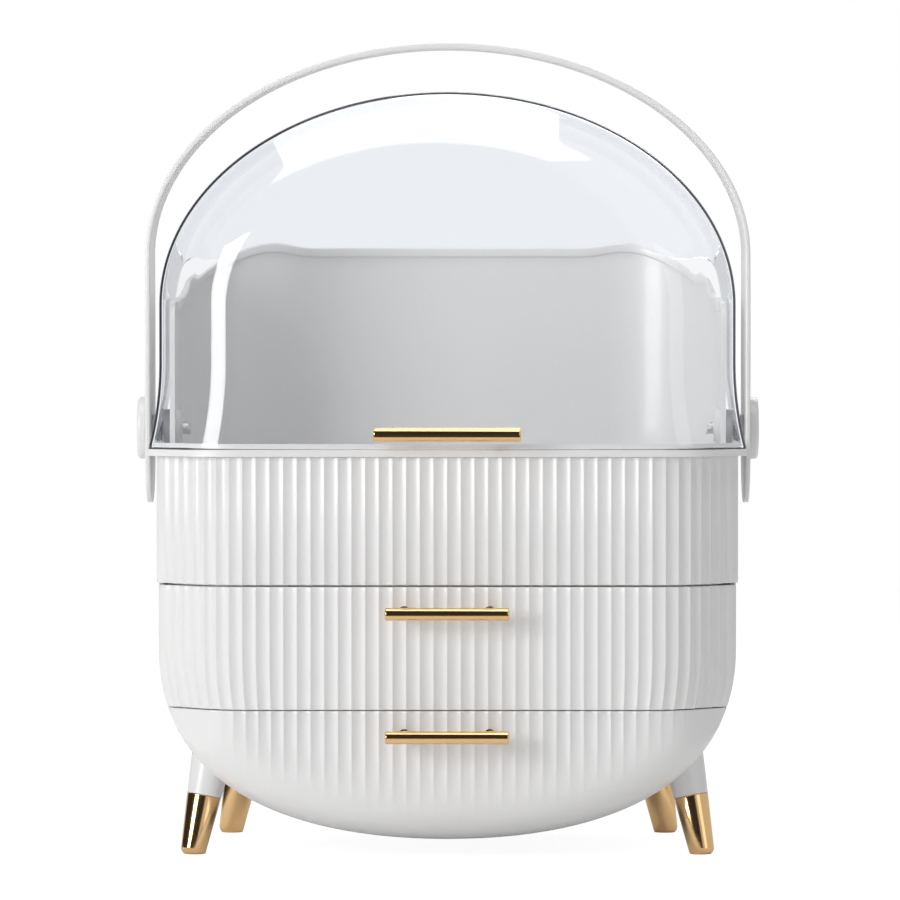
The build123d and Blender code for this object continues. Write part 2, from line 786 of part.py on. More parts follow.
def make_knob():
    """Right knob: a cap outside the strap on a shaft through strap, hood and boss."""
    outer_x = knob_inner_x + knob_thickness
    cap = round_x(knob_radius, knob_inner_x, outer_x, 0, pivot_z)
    rim = [e for e in cap.edges().filter_by(GeomType.CIRCLE) if e.center().X > outer_x - 0.1]
    cap = fillet(rim, knob_edge)
    shaft = round_x(shaft_radius, boss_inner_x + part_gap / 2, knob_inner_x + 1, 0, pivot_z)
    pilot_end = boss_inner_x + 2 * screw_bite
    pilot = round_x(screw_radius + screw_hole_gap, boss_inner_x - 1, pilot_end, 0, pivot_z)
    return cap + shaft - pilot


def make_hood_washers():
    """Slip washers between the hood's pads and the strap."""
    start = hood_foot_half_width + axial_gap
    end = strap_inner_x - axial_gap
    ring = round_x(washer_radius, start, end, 0, pivot_z)
    ring = ring - round_x(shaft_radius + running_gap, start - 1, end + 1, 0, pivot_z)
    return both_sides(ring)


def make_pivot_washers():
    """Washers under the heads of the pivot screws, inside the bosses."""
    end = boss_inner_x
    start = end - washer_thickness
    ring = round_x(washer_radius, start, end, 0, pivot_z)
    ring = ring - round_x(screw_radius + screw_hole_gap, start - 1, end + 1, 0, pivot_z)
    return both_sides(ring)


def make_pivot_screws():
    """Screws that hold the knobs' shafts from inside."""
    seat = boss_inner_x - washer_thickness
    shank = round_x(screw_radius, seat, boss_inner_x + 2 * screw_bite - 1, 0, pivot_z)
    head = round_x(screw_head_radius, seat - screw_head_height, seat, 0, pivot_z)
    slot = Box(2 * screw_slot_depth, 2 * screw_head_radius, screw_slot_width)
    return both_sides(shank + head - Pos(seat - screw_head_height, 0, pivot_z) * slot)


# Legs


def leg_plane(foot_x, foot_y):
    """Plane at the foot, its normal up along the slanted leg."""
    lean = leg_lean if foot_y > 0 else -leg_lean
    axis = (-tan(radians(leg_splay)), -tan(radians(lean)), 1)
    return Plane((foot_x, foot_y, 0), x_dir=(1, 0, tan(radians(leg_splay))), z_dir=axis)


def leg_cone(radius, foot_radius, start, length):
    """Part of the leg's cone, from start up its axis."""
    slope = (radius - foot_radius) / cap_length
    low = foot_radius + slope * start
    top = low + slope * length
    return Pos(0, 0, start + length / 2) * Cone(low, top, length)


def make_cap(foot_x, foot_y):
    """Thin metallic cap on the lower end of a leg, cut flat where it stands."""
    lift = -1.0
    outer = leg_cone(cap_top_radius, cap_foot_radius, lift, cap_length - lift)
    outer = fillet(outer.edges().sort_by(Axis.Z)[0], cap_edge)
    inner_top = cap_top_radius - cap_wall
    inner_foot = cap_foot_radius - cap_wall
    inner = leg_cone(inner_top, inner_foot, 2 * cap_wall, cap_length)
    cap = leg_plane(foot_x, foot_y).location * (outer - inner)
    return cap & slab(0, big)


def make_leg(foot_x, foot_y, casing, cavity):
    """Leg: a stub inside the cap, a cone up to the casing and a spigot through its wall."""
    plane = leg_plane(foot_x, foot_y).location
    stub_foot = cap_foot_radius - cap_wall - glue_gap
    stub_top = cap_top_radius - cap_wall - glue_gap
    stub = leg_cone(stub_top, stub_foot, 2 * cap_wall + glue_gap, cap_length - 2 * cap_wall)
    root_length = leg_root_length - cap_length
    cone = Cone(cap_top_radius, leg_root_radius, root_length)
    cone = Pos(0, 0, cap_length + glue_gap + root_length / 2) * cone
    leg = (plane * (stub + cone) - casing).solids().sort_by(Axis.Z)[0]
    pin = Cylinder(spigot_radius, leg_root_length, align=(Align.CENTER, Align.CENTER, Align.MIN))
    return leg + (plane * (Pos(0, 0, cap_length) * pin) & (casing - cavity) & slab(0, belly_side_z))


def spigot_holes():
    """Holes in the casing's wall for the spigots of the four legs."""
    holes = Part()
    for foot_x, foot_y in ((front_foot_x, front_foot_y), (rear_foot_x, rear_foot_y)):
        radius = spigot_radius + glue_gap
        drill = Cylinder(radius, leg_root_length, align=(Align.CENTER, Align.CENTER, Align.MIN))
        holes = holes + leg_plane(foot_x, foot_y).location * (Pos(0, 0, cap_length) * drill)
    return both_sides(holes)


# All pieces by name


def make_pieces():
    """Every node's name and shape, drawn round the pivot plane."""
    upper_screws = make_bar_screws(drawer_bar_length, upper_bar_z, skin + box_wall, post_seat)
    lower_screws = make_bar_screws(drawer_bar_length, lower_bar_z, skin + box_wall, post_seat)
    knob = make_knob()
    outline = body_outline(0, body_half_width, big / 2)
    inner_outline = body_outline(casing_wall, body_half_width, big / 2)
    belt = along_y(outline, front_back_y, step_y)
    belt_cavity = along_y(inner_outline, front_back_y, step_y)
    front_leg = make_leg(front_foot_x, front_foot_y, belt, belt_cavity)
    rear_leg = make_leg(rear_foot_x, rear_foot_y, rear_casing(), rear_cavity())
    front_cap = make_cap(front_foot_x, front_foot_y)
    rear_cap = make_cap(rear_foot_x, rear_foot_y)
    return {
        "rear_shell": make_rear_shell(),
        "front_frame": make_front_frame(),
        "middle_shelf": make_middle_shelf(),
        "bin_front": make_bin_front(),
        "bin_tray": make_bin_tray(),
        "upper_drawer_box": make_upper_box(),
        "upper_drawer_front": make_upper_front(),
        "upper_drawer_bar": make_bar(drawer_bar_length, drawer_bar_radius, upper_bar_z, post_seat),
        "upper_drawer_bar_screws": upper_screws,
        "lower_drawer_box": make_lower_box(),
        "lower_drawer_front": make_lower_front(),
        "lower_drawer_bar": make_bar(drawer_bar_length, drawer_bar_radius, lower_bar_z, post_seat),
        "lower_drawer_bar_screws": lower_screws,
        "hood": make_hood(),
        "hood_bar": make_bar(hood_bar_length, hood_bar_radius, hood_bar_z, 0),
        "hood_bar_screws": make_bar_screws(hood_bar_length, hood_bar_z, hood_wall, 0),
        "handle": make_handle(),
        "right_knob": knob,
        "left_knob": mirror(knob, Plane.YZ),
        "hood_washers": make_hood_washers(),
        "pivot_washers": make_pivot_washers(),
        "pivot_screws": make_pivot_screws(),
        "front_right_leg": front_leg,
        "front_left_leg": mirror(front_leg, Plane.YZ),
        "rear_right_leg": rear_leg,
        "rear_left_leg": mirror(rear_leg, Plane.YZ),
        "front_right_leg_cap": front_cap,
        "front_left_leg_cap": mirror(front_cap, Plane.YZ),
        "rear_right_leg_cap": rear_cap,
        "rear_left_leg_cap": mirror(rear_cap, Plane.YZ),
    }


os.makedirs("parts", exist_ok=True)
for name, piece in make_pieces().items():
    export_step(Pos(0, pivot_y, 0) * piece, f"parts/{name}.step")
    print(name, round(piece.volume))
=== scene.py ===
import json
from math import cos, pi, radians, sin, tan

import bmesh
import bpy
import numpy as np
from bpy.props import FloatProperty, FloatVectorProperty, PointerProperty
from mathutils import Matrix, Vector


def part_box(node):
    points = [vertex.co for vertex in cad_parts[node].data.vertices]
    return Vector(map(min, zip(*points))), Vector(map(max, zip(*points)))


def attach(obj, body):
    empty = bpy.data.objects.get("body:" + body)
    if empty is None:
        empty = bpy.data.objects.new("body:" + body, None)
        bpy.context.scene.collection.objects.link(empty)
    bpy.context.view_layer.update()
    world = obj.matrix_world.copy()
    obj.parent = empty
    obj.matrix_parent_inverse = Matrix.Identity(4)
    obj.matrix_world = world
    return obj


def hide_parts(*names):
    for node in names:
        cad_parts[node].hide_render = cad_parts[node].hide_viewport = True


bl_info = {
    "name": "Makeup organizer finish",
    "version": (1, 0, 0),
    "blender": (4, 5, 0),
    "location": "3D View > Sidebar > Organizer",
    "description": "Gives the packed makeup organizer its surfaces, materials, light and camera",
    "category": "Object",
}

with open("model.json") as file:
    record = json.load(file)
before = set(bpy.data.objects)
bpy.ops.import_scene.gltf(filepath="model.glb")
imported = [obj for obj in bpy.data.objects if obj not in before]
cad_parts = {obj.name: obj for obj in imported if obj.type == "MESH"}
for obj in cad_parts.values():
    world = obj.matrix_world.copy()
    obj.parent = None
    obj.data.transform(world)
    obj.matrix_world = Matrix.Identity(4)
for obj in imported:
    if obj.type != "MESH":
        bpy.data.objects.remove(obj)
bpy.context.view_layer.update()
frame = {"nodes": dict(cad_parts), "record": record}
MM = 0.001


# Sizes read from the frame, in metres


def node_low(node):
    """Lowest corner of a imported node."""
    return np.array(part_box(node)[0])


def node_high(node):
    """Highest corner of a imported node."""
    return np.array(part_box(node)[1])


# How far the edges of the two drawer fronts reach into the seam between them
SEAM_LIP = 0.24 * MM

JOINTS = {joint["name"]: joint for joint in frame["record"]["behaviour"]["joints"]}
PIVOT = np.array(JOINTS["hood_hinge"]["pos_m"])
BODY_HALF = node_high("upper_drawer_front")[0]
BAND_HALF = node_high("bin_front")[0]
FRONT_Y = node_low("bin_front")[1]
DRAWER_BACK_Y = node_high("upper_drawer_front")[1]
BAND_BACK_Y = node_high("bin_front")[1]
BELLY_LOW_Z = node_low("lower_drawer_front")[2]
LOWER_TOP_Z = node_high("lower_drawer_front")[2] + SEAM_LIP
UPPER_LOW_Z = node_low("upper_drawer_front")[2] - SEAM_LIP
UPPER_TOP_Z = node_high("upper_drawer_front")[2]
BAND_LOW_Z = node_low("bin_front")[2]
BAND_TOP_Z = node_high("bin_front")[2]
SHELL_BACK_Y = node_high("rear_shell")[1]
HOOD_HALF = node_high("hood")[0]
HOOD_TOP_Z = node_high("hood")[2]
HOOD_BACK_Y = node_high("hood")[1]
STRAP_HALF = node_high("handle")[0]
STRAP_LOW_Z = node_low("handle")[2]
STRAP_TOP_Z = node_high("handle")[2]
KNOB_HALF = node_high("right_knob")[0]

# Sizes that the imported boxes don't give

CORNER_RADIUS = 38 * MM
CORNER_TURN = radians(44)
CORNER_STRAIGHT = 23 * MM
CORNER_INSET = CORNER_RADIUS * sin(CORNER_TURN) + CORNER_STRAIGHT * cos(CORNER_TURN)
CORNER_EASE = 1.5 * MM
BELLY_SIDE_Z = 97.4 * MM
BELLY_FULLNESS = 0.64
BELLY_ROUNDING = 28 * MM
BELLY_CREASE = 3 * MM
BELLY_CREASE_END = 6 * MM
SQUEEZE_START = 0.55
FLUTE_PITCH = 6.39 * MM
FLUTE_FADE = (10 * MM, 44 * MM)
SKIN = 3.3 * MM

# The hood: its arch and upright take these parts of the outline from the crown to the foot
ARCH_END = 0.62
UPRIGHT_END = 0.74
HOOD_SIDE = 136 * MM
HOOD_FLARE_Z = 233 * MM
HOOD_ARCH_Z = 260.1 * MM
HOOD_FOOT_Z = 192.4 * MM
HOOD_REAR_EDGE_Z = 284.5 * MM
HOOD_REAR_ROUNDING = 12 * MM
HOOD_WALL = 2 * MM
HOOD_CORNER_EASE = 2 * MM
PANEL_LOW_SHARE = 0.65
PAD_INNER = 136.8 * MM
PAD_HOLE = 4.05 * MM
PAD_RADIUS = 15.6 * MM
PAD_EDGE = 0.5 * MM
PAD_GAP = 0.6 * MM

# The hood's slanted cut over the pivots, as distances behind them and heights in millimetres:
# two straights, then a curve with one corner
CUT_STRAIGHTS = ((0, 192.4), (14, 209))
CUT_CURVE = np.array([(76, 279.5), (81, 284.5), (86, 284.5)])

KNOB_RADIUS = 15 * MM
KNOB_EDGE = 1.8 * MM
KNOB_BACK_EDGE = 0.5 * MM
KNOB_GAP = 0.3 * MM
KNOB_GROOVE = 0.25 * MM
KNOB_GROOVE_RADII = (11.4 * MM, 10.9 * MM, 10.6 * MM)
SHAFT_RADIUS = 4 * MM
SHAFT_INNER = 128.6 * MM
SHAFT_OVERLAP = 1 * MM
SHAFT_EDGES = (0.4 * MM, 0.1 * MM)

STRAP_ARCH_Z = 284.4 * MM
STRAP_SIDE = 2.4 * MM
STRAP_TOP = 2.9 * MM
STRAP_PADDLE = 25 * MM
STRAP_TAPER_Z = 250 * MM
STRAP_TAPER_POWER = 1.45
STRAP_CROWN_HALF = 10.25 * MM

HOOD_BAR_RADIUS = 3.3 * MM
DRAWER_BAR_RADIUS = 3.05 * MM
BAR_EDGE = 0.9 * MM
POST_RADIUS = 2.3 * MM
POST_INSET = 9 * MM

# How far before the front a post's profile has its last points, and the radius gained there
POST_FLARE = ((1.4 * MM, 0), (0.9 * MM, 0.15 * MM), (0.6 * MM, 0.9 * MM), (-0.3 * MM, 0.9 * MM))

CAP_LENGTH = 28 * MM
CAP_LIFT = -1.0 * MM
CAP_FOOT_RADIUS = 6.05 * MM
CAP_FOOT_EDGE = 3.4 * MM
CAP_TOP_RADIUS = 8.2 * MM
CAP_TOP_EDGE = 0.5 * MM
CAP_MOUTH_RADIUS = 7.4 * MM
CAP_MOUTH_DEPTH = 3 * MM
CAP_MOUTH_TAPER = 0.2 * MM
CAP_LEAN_X = tan(radians(11))
CAP_LEAN_Y = tan(radians(8))

# Where the caps' axes meet the floor: x to the side, y from the pivots
CAP_PLACES = {"front": (120.9 * MM, -56.0 * MM), "rear": (107.8 * MM, 63.0 * MM)}

FENCE_HALF = 130.4 * MM
FENCE_WALL = 2.4 * MM
FENCE_CORNER = 49.6 * MM
FENCE_CROWN_Z = 289 * MM

# The fence's top: places from the middle and its rise over the crown line there, in millimetres
FENCE_PLACES = [0, 66, 72.6, 79.1, 85.6, 92.2, 98.7, 105, 111, 116.7, 122.2, 127.1, 131.7, 136.3]
FENCE_RISES = [0, 0, 0.5, 1.6, 2.5, 2.1, 0.8, -1.4, -4.1, -7.3, -11.1, -15.5, -20.3, -25]

# The wings' top: 27 mm under the crown line in front, then one S curve up
WING_FRONT_Y = PIVOT[1] - 9 * MM
WING_DROP = 27 * MM
WING_CURVE_START = 30 * MM
WING_CURVE_LENGTH = 36 * MM
WING_CURVE_DROP = 25 * MM
WING_CURVE_RISE = 28.5 * MM
LIP_EDGE = 0.9 * MM
LIP_ROOT = 0.4 * MM
LIP_STEP = 0.15 * MM

# Material of each slot
FINISHES = {
    "white": "white_moulding",
    "gold": "gold_plating",
    "steel": "plated_steel",
    "washer": "nylon",
    "clear": "clear_acrylic",
}

# Per material: its colour, strength of the grain, values of the skin group and of the shader
SKINS = {
    "white_moulding": (
        "plastic_colour",
        0.08,
        {"Shade": 0.03, "Rough Low": 0.27, "Rough High": 0.36},
        {"IOR": 1.48, "Coat Weight": 0.25, "Coat Roughness": 0.12},
    ),
    "gold_plating": (
        "gold_colour",
        0.12,
        {"Grain Scale": 500, "Shade Scale": 60, "Shade": 0.1, "Rough Low": 0.1, "Rough High": 0.17},
        {"Metallic": 1.0},
    ),
    "plated_steel": (
        "steel_colour",
        0.3,
        {"Grain Scale": 1500, "Shade Scale": 200, "Shade": 0.15, "Rough Low": 0.28, "Rough High": 0.4},
        {"Metallic": 1.0},
    ),
    "nylon": (
        "nylon_colour",
        0.3,
        {"Grain Scale": 700, "Shade": 0.08, "Rough Low": 0.5, "Rough High": 0.6},
        {},
    ),
}

# Soft boxes: place, width, height and the studio value that holds the power
SOFTBOXES = {
    "key_box": ((-1.34, -1.26, 0.6), 0.7, 0.95, "key_power"),
    "top_box": ((-0.1, -0.25, 1.5), 1.4, 0.8, "top_power"),
    "fill_box": ((1.4, -1.3, 0.5), 0.7, 1.0, "fill_power"),
    "rear_box": ((0.4, 1.5, 1.35), 1.2, 0.8, "rear_power"),
}
LIT_POINT = (0, 0, 0.19)
CAMERA_X = 0.011
AIM_X = 0.001
AIM_Z = 0.1903


class OrganizerSizes(bpy.types.PropertyGroup):
    """Sizes of the finish that can be changed without touching the frame."""

    flute_depth: FloatProperty(
        name="Flute depth", description="Depth of the hollow flutes", default=1.15 * MM, unit="LENGTH"
    )
    edge_radius: FloatProperty(
        name="Edge radius",
        description="Rounding of the moulded edges at the seams",
        default=0.55 * MM,
        unit="LENGTH",
    )
    lip_height: FloatProperty(
        name="Lip height",
        description="Height of the lip inside the fence's top",
        default=4.6 * MM,
        unit="LENGTH",
    )
    lip_reach: FloatProperty(
        name="Lip reach",
        description="How far the lip stands out of the fence",
        default=1.3 * MM,
        unit="LENGTH",
    )
    strap_edge: FloatProperty(
        name="Strap edge", description="Rounding of the strap's edges", default=0.8 * MM, unit="LENGTH"
    )


class OrganizerFinish(bpy.types.PropertyGroup):
    """Colours and surface values of the finishes."""

    plastic_colour: FloatVectorProperty(
        name="Plastic", description="White plastic", default=(0.80, 0.797, 0.796), subtype="COLOR"
    )
    gold_colour: FloatVectorProperty(
        name="Gold", description="Gold-tone plating", default=(0.90, 0.585, 0.28), subtype="COLOR"
    )
    clear_colour: FloatVectorProperty(
        name="Clear", description="Acrylic of the hood", default=(0.92, 0.93, 0.945), subtype="COLOR"
    )
    steel_colour: FloatVectorProperty(
        name="Steel", description="Plated screws", default=(0.62, 0.62, 0.64), subtype="COLOR"
    )
    nylon_colour: FloatVectorProperty(
        name="Nylon", description="Slip washers", default=(0.78, 0.77, 0.74), subtype="COLOR"
    )


class OrganizerStudio(bpy.types.PropertyGroup):
    """Camera and lamps."""

    camera_distance: FloatProperty(
        name="Camera distance", description="From the pivots to the camera", default=2.8, unit="LENGTH"
    )
    eye_height: FloatProperty(
        name="Eye height", description="Height of the camera", default=0.2507, unit="LENGTH"
    )
    lens: FloatProperty(name="Lens", description="Focal length in millimetres", default=231.8)
    key_power: FloatProperty(name="Key", description="Soft box at the left, in watts", default=16.5)
    top_power: FloatProperty(name="Top", description="Soft box overhead, in watts", default=7.5)
    fill_power: FloatProperty(name="Fill", description="Soft box at the right, in watts", default=1.6)
    rear_power: FloatProperty(name="Rear", description="Soft box behind, in watts", default=9.0)
    ambient: FloatProperty(name="Ambient", description="Strength of the even light around", default=0.36)


# Surfaces as grids of points


def add_object(name, data):
    """Object of its data, linked to the scene."""
    item = bpy.data.objects.new(name, data)
    bpy.context.scene.collection.objects.link(item)
    return item


def grid_quads(rows, columns, close_rows=False, close_columns=False):
    """Corner numbers of the quads between the points of a rows by columns grid."""
    row = np.arange(rows if close_rows else rows - 1)[:, None]
    column = np.arange(columns if close_columns else columns - 1)[None, :]
    next_row = (row + 1) % rows
    next_column = (column + 1) % columns
    corners = [row * columns + column, row * columns + next_column]
    corners += [next_row * columns + next_column, next_row * columns + column]
    return np.stack(np.broadcast_arrays(*corners), axis=-1).reshape(-1, 4)


def make_piece(name, grids, body, slot, sharp_angle=38):
    """Object from grids given as (points, close_rows, close_columns), merged and turned outwards.

    It rides on the body, and its material is the finish of the slot.
    """
    points = []
    quads = []
    count = 0
    for grid, close_rows, close_columns in grids:
        rows, columns = grid.shape[:2]
        points.append(grid.reshape(-1, 3))
        quads.append(grid_quads(rows, columns, close_rows, close_columns) + count)
        count += rows * columns
    mesh = bpy.data.meshes.new(name)
    mesh.from_pydata(np.concatenate(points).tolist(), [], np.concatenate(quads).tolist())
    clean_mesh(mesh)
    mesh.polygons.foreach_set("use_smooth", np.ones(len(mesh.polygons), dtype=bool))
    mesh.set_sharp_from_angle(angle=radians(sharp_angle))
    piece = add_object(name, mesh)
    piece.data.materials.append(bpy.data.materials[FINISHES[slot]])
    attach(piece, body)
    return piece


def clean_mesh(mesh):
    """Merges the points that meet at seams and poles and turns the faces outwards."""
    work = bmesh.new()
    work.from_mesh(mesh)
    bmesh.ops.remove_doubles(work, verts=work.verts, dist=0.002 * MM)
    bmesh.ops.dissolve_degenerate(work, edges=work.edges, dist=0.001 * MM)
    bmesh.ops.recalc_face_normals(work, faces=work.faces)
    work.to_mesh(mesh)
    work.free()


def mirrored(half):
    """Whole grid from the columns of its right half, whose first column lies at x = 0."""
    left = half[:0:-1] * np.array([-1.0, 1.0, 1.0])
    return np.concatenate([left, half])


def stack(x, y, z):
    """Points from three arrays of one shape."""
    return np.stack(np.broadcast_arrays(x, y, z), axis=-1)


def with_caps(grid):
    """Adds an end at both sides: a column drawn together to the middle line of the loop."""
    ends = [(column + column[::-1]) / 2 for column in (grid[0], grid[-1])]
    return np.concatenate([ends[0][None], grid, ends[1][None]])


def bend(start, corner, end, t):
    """Curve from start to end that leaves and arrives towards one corner, for t from 0 to 1."""
    return start * (1 - t) ** 2 + 2 * corner * t * (1 - t) + end * t**2


def cubic(a, b, c, d, t):
    """Cubic curve with the control values a to d, for t from 0 to 1."""
    return a * (1 - t) ** 3 + 3 * b * (1 - t) ** 2 * t + 3 * c * (1 - t) * t**2 + d * t**3


def smooth_max(first, second, blend):
    """Larger of two values, with the crease between them eased over blend."""
    return (first + second + np.sqrt((first - second) ** 2 + blend**2)) / 2


def smooth_step(value, low, high):
    """0 below low, 1 above high, with an even S curve between."""
    part = np.clip((value - low) / (high - low), 0, 1)
    return part * part * (3 - 2 * part)


# Plan of the ribbed fronts


def plan_path(distance, inset, half_width):
    """Plan of a front at a distance along it: flat, then an arc, then a slanted straight.

    With r = corner radius - inset and a = arc distance / corner radius, an arc point is
    (flat + r sin a, front + corner radius - r cos a), and the straight goes on at 44 degrees.
    """
    flat = half_width - CORNER_INSET
    angle = np.clip((distance - flat) / CORNER_RADIUS, 0, CORNER_TURN)
    straight = np.clip(distance - flat - CORNER_RADIUS * CORNER_TURN, 0, None)
    radius = CORNER_RADIUS - inset
    x = np.minimum(distance, flat) + radius * np.sin(angle) + straight * cos(CORNER_TURN)
    y = FRONT_Y + CORNER_RADIUS - radius * np.cos(angle) + straight * sin(CORNER_TURN)
    return x, y, angle


def path_end(half_width):
    """Length of the plan path from the middle to the side."""
    return half_width - CORNER_INSET + CORNER_RADIUS * CORNER_TURN + CORNER_STRAIGHT


def flute_columns(half_width):
    """Distances of the grid's columns: closer together near each crest."""
    crests = int(path_end(half_width) / FLUTE_PITCH)
    steps = np.array([0, 0.02, 0.05, 0.1, 0.2, 0.34, 0.5, 0.66, 0.8, 0.9, 0.95, 0.98])
    columns = np.arange(crests)[:, None] + steps[None, :]
    return FLUTE_PITCH * np.append(columns.ravel(), crests)


def flute_hollow(distance, half_width, depth):
    """Depth of the flutes along the path.

    With q from -1 to 1 across a flute, it is depth times the eased value of 1 - q squared.
    """
    last = FLUTE_PITCH * int(path_end(half_width) / FLUTE_PITCH)
    across = np.mod(distance / FLUTE_PITCH, 1.0) * 2 - 1
    ease = 0.12
    hollow = np.sqrt((1 - across**2) ** 2 + ease**2) - ease
    return depth * hollow * (distance < last - 1e-9)


# Front view of the belly


def belly_curve(inset):
    """Right half of the belly's outline: one cubic curve from the side down to the middle."""
    half = BODY_HALF - inset
    low_z = BELLY_LOW_Z + inset
    reach = BELLY_FULLNESS * (BELLY_SIDE_Z - low_z)
    t = np.linspace(0, 1, 700)
    z = cubic(BELLY_SIDE_Z, BELLY_SIDE_Z - reach, low_z, low_z, t)
    return half * cubic(1, 1, BELLY_FULLNESS, 0, t), z


def belly_half(z, inset):
    """Half width of the outline at a height."""
    x_curve, z_curve = belly_curve(inset)
    return np.interp(z, z_curve[::-1], x_curve[::-1])


def belly_bottom(x, inset):
    """Height of the outline under a place x."""
    x_curve, z_curve = belly_curve(inset)
    return np.interp(x, x_curve[::-1], z_curve[::-1])


def belly_depth(x, z, inset):
    """Distance from points inside the outline to it, square to its nearest stretch."""
    x_curve, z_curve = belly_curve(inset)
    gap = (x[..., None] - x_curve) ** 2 + (z[..., None] - z_curve) ** 2
    nearest = np.argmin(gap, axis=-1)
    along_x = np.gradient(x_curve)[nearest]
    along_z = np.gradient(z_curve)[nearest]
    length = np.hypot(along_x, along_z)
    across = (x - x_curve[nearest]) * along_z - (z - z_curve[nearest]) * along_x
    return np.abs(across) / length


def squeeze(x, half_width, narrowed):
    """Draws the outer part of a width in, so that it ends at the narrowed half width."""
    start = SQUEEZE_START * half_width
    factor = (narrowed - start) / (half_width - start)
    return np.where(x < start, x, start + (x - start) * factor)


# Ribbed fronts


def edge_rows(low_z, top_z, radius, step):
    """Rows of a wall's outer face: (inset, height) with both ends rounded by quarter circles."""
    turn = np.linspace(0, pi / 2, 5)
    low = np.stack([radius * (1 - np.sin(turn)), low_z + radius * (1 - np.cos(turn))], axis=-1)
    top = np.stack([radius * (1 - np.cos(turn)), top_z - radius * (1 - np.sin(turn))], axis=-1)
    count = max(2, int((top_z - low_z) / step))
    middle = np.linspace(low_z + radius, top_z - radius, count)[1:-1]
    face = np.stack([np.zeros_like(middle), middle], axis=-1)
    return np.concatenate([low, face, top])


def band_path(columns, inset, half_width, back_y, depth):
    """Plan of a fluted band from its middle to its back end, as two arrays.

    The path is moved along its own normal by the inset and the hollow of the flutes, then an
    eased corner leads to the straight side.
    """
    hollow = flute_hollow(columns, half_width, depth)
    x, y, angle = plan_path(columns, inset, half_width)
    x = x - hollow * np.sin(angle)
    y = y + hollow * np.cos(angle)
    side = half_width - inset
    corner_y = y[-1] + (side - x[-1]) * tan(CORNER_TURN)
    start = np.array([x[-1], y[-1]])
    corner = np.array([side, corner_y])
    end = np.array([side, corner_y + CORNER_EASE])
    turn = bend(start, corner, end, np.linspace(0, 1, 6)[1:, None])
    y_side = np.array([corner_y + 0.5 * (back_y - corner_y), back_y])
    return np.concatenate([x, turn[:, 0], [side, side]]), np.concatenate([y, turn[:, 1], y_side])


def band_grid(half_width, low_z, top_z, back_y, sizes, step, curved):
    """Closed shell of a band: outer rows upwards, inner rows downwards, for each column."""
    columns = flute_columns(half_width)
    rows = []
    for inset, z in edge_rows(low_z, top_z, sizes.edge_radius, step):
        x, y = band_path(columns, inset, half_width, back_y, sizes.flute_depth)
        rows.append((x, y, z, 0.0))
    for z in np.linspace(top_z, low_z, max(2, int((top_z - low_z) / step))):
        x, y = band_path(columns, SKIN, half_width, back_y, 0)
        rows.append((x, y, z, SKIN))
    grid = []
    for x, y, z, inset in rows:
        if curved:
            x = squeeze(x, half_width, belly_half(z, 0) if z < BELLY_SIDE_Z else half_width)
        grid.append(stack(x, y, z))
    return with_caps(mirrored(np.stack(grid, axis=1)))


def lower_front_grid(sizes):
    """Closed shell of the lower front.

    Each column runs from the belly's outline up to the seam. Its depth y is the larger of the plan
    path's and of a round of 28 mm that starts at the outline: with d the distance to the outline,
    y = front + R - sqrt(R squared - (R - d) squared). The flutes fade towards the round.
    """
    columns = np.append(flute_columns(BODY_HALF), path_end(BODY_HALF))
    part = 1 - np.cos(np.linspace(0, 1, 54) * pi / 2)
    outer = front_rows(columns, part, 0.0, sizes.flute_depth, LOWER_TOP_Z - sizes.edge_radius)
    turn = np.linspace(0, pi / 2, 5)[1:]
    lip = []
    for angle in turn:
        inset = sizes.edge_radius * (1 - cos(angle))
        top = LOWER_TOP_Z - sizes.edge_radius * (1 - sin(angle))
        lip.append(front_rows(columns, np.array([1.0]), inset, sizes.flute_depth, top))
    inner = front_rows(columns, part[::-1], SKIN, 0.0, LOWER_TOP_Z)
    ends = [outer[:, :1].copy(), inner[:, -1:].copy()]
    for end in ends:
        end[..., 1] = DRAWER_BACK_Y
    half = np.concatenate([ends[0], outer, *lip, inner, ends[1]], axis=1)
    return with_caps(mirrored(half))


def front_rows(columns, part, inset, depth, top_z):
    """Points of the lower front at parts of each column's height, as columns by rows."""
    x_path, y_path, angle = plan_path(columns, inset, BODY_HALF)
    end_x = x_path[-1]
    top_half = belly_half(top_z, inset)
    x = squeeze(x_path, end_x, top_half)[:, None]
    low_z = belly_bottom(x, inset)
    z = low_z + np.clip(top_z - low_z, 0, None) * part[None, :]
    x = np.broadcast_to(x, z.shape)
    away = belly_depth(x, z, inset)
    radius = BELLY_ROUNDING - inset
    inside = np.clip(radius - away, 0, radius)
    round_y = FRONT_Y + inset + radius - np.sqrt(radius**2 - inside**2)
    y = smooth_max(y_path[:, None], round_y, BELLY_CREASE * smooth_step(away, 0, BELLY_CREASE_END))
    fade = smooth_step(away, *FLUTE_FADE)
    hollow = flute_hollow(columns, BODY_HALF, depth)[:, None] * fade
    return stack(x - hollow * np.sin(angle)[:, None], y + hollow * np.cos(angle)[:, None], z)


class OBJECT_OT_organizer_fronts(bpy.types.Operator):
    """Make the fluted band of the bin and the two drawer fronts"""

    bl_idname = "object.organizer_fronts"
    bl_label = "Ribbed fronts"

    def execute(self, context):
        sizes = context.scene.organizer_sizes
        band = band_grid(BAND_HALF, BAND_LOW_Z, BAND_TOP_Z, BAND_BACK_Y, sizes, 30 * MM, False)
        piece = make_piece("bin_band", [(band, False, True)], "body", "white")
        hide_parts("bin_front")
        upper = band_grid(BODY_HALF, UPPER_LOW_Z, UPPER_TOP_Z, DRAWER_BACK_Y, sizes, 2 * MM, True)
        piece = make_piece("upper_front", [(upper, False, True)], "upper_drawer", "white")
        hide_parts("upper_drawer_front")
        lower = lower_front_grid(sizes)
        piece = make_piece("lower_front", [(lower, False, True)], "lower_drawer", "white")
        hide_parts("lower_drawer_front")
        return {"FINISHED"}


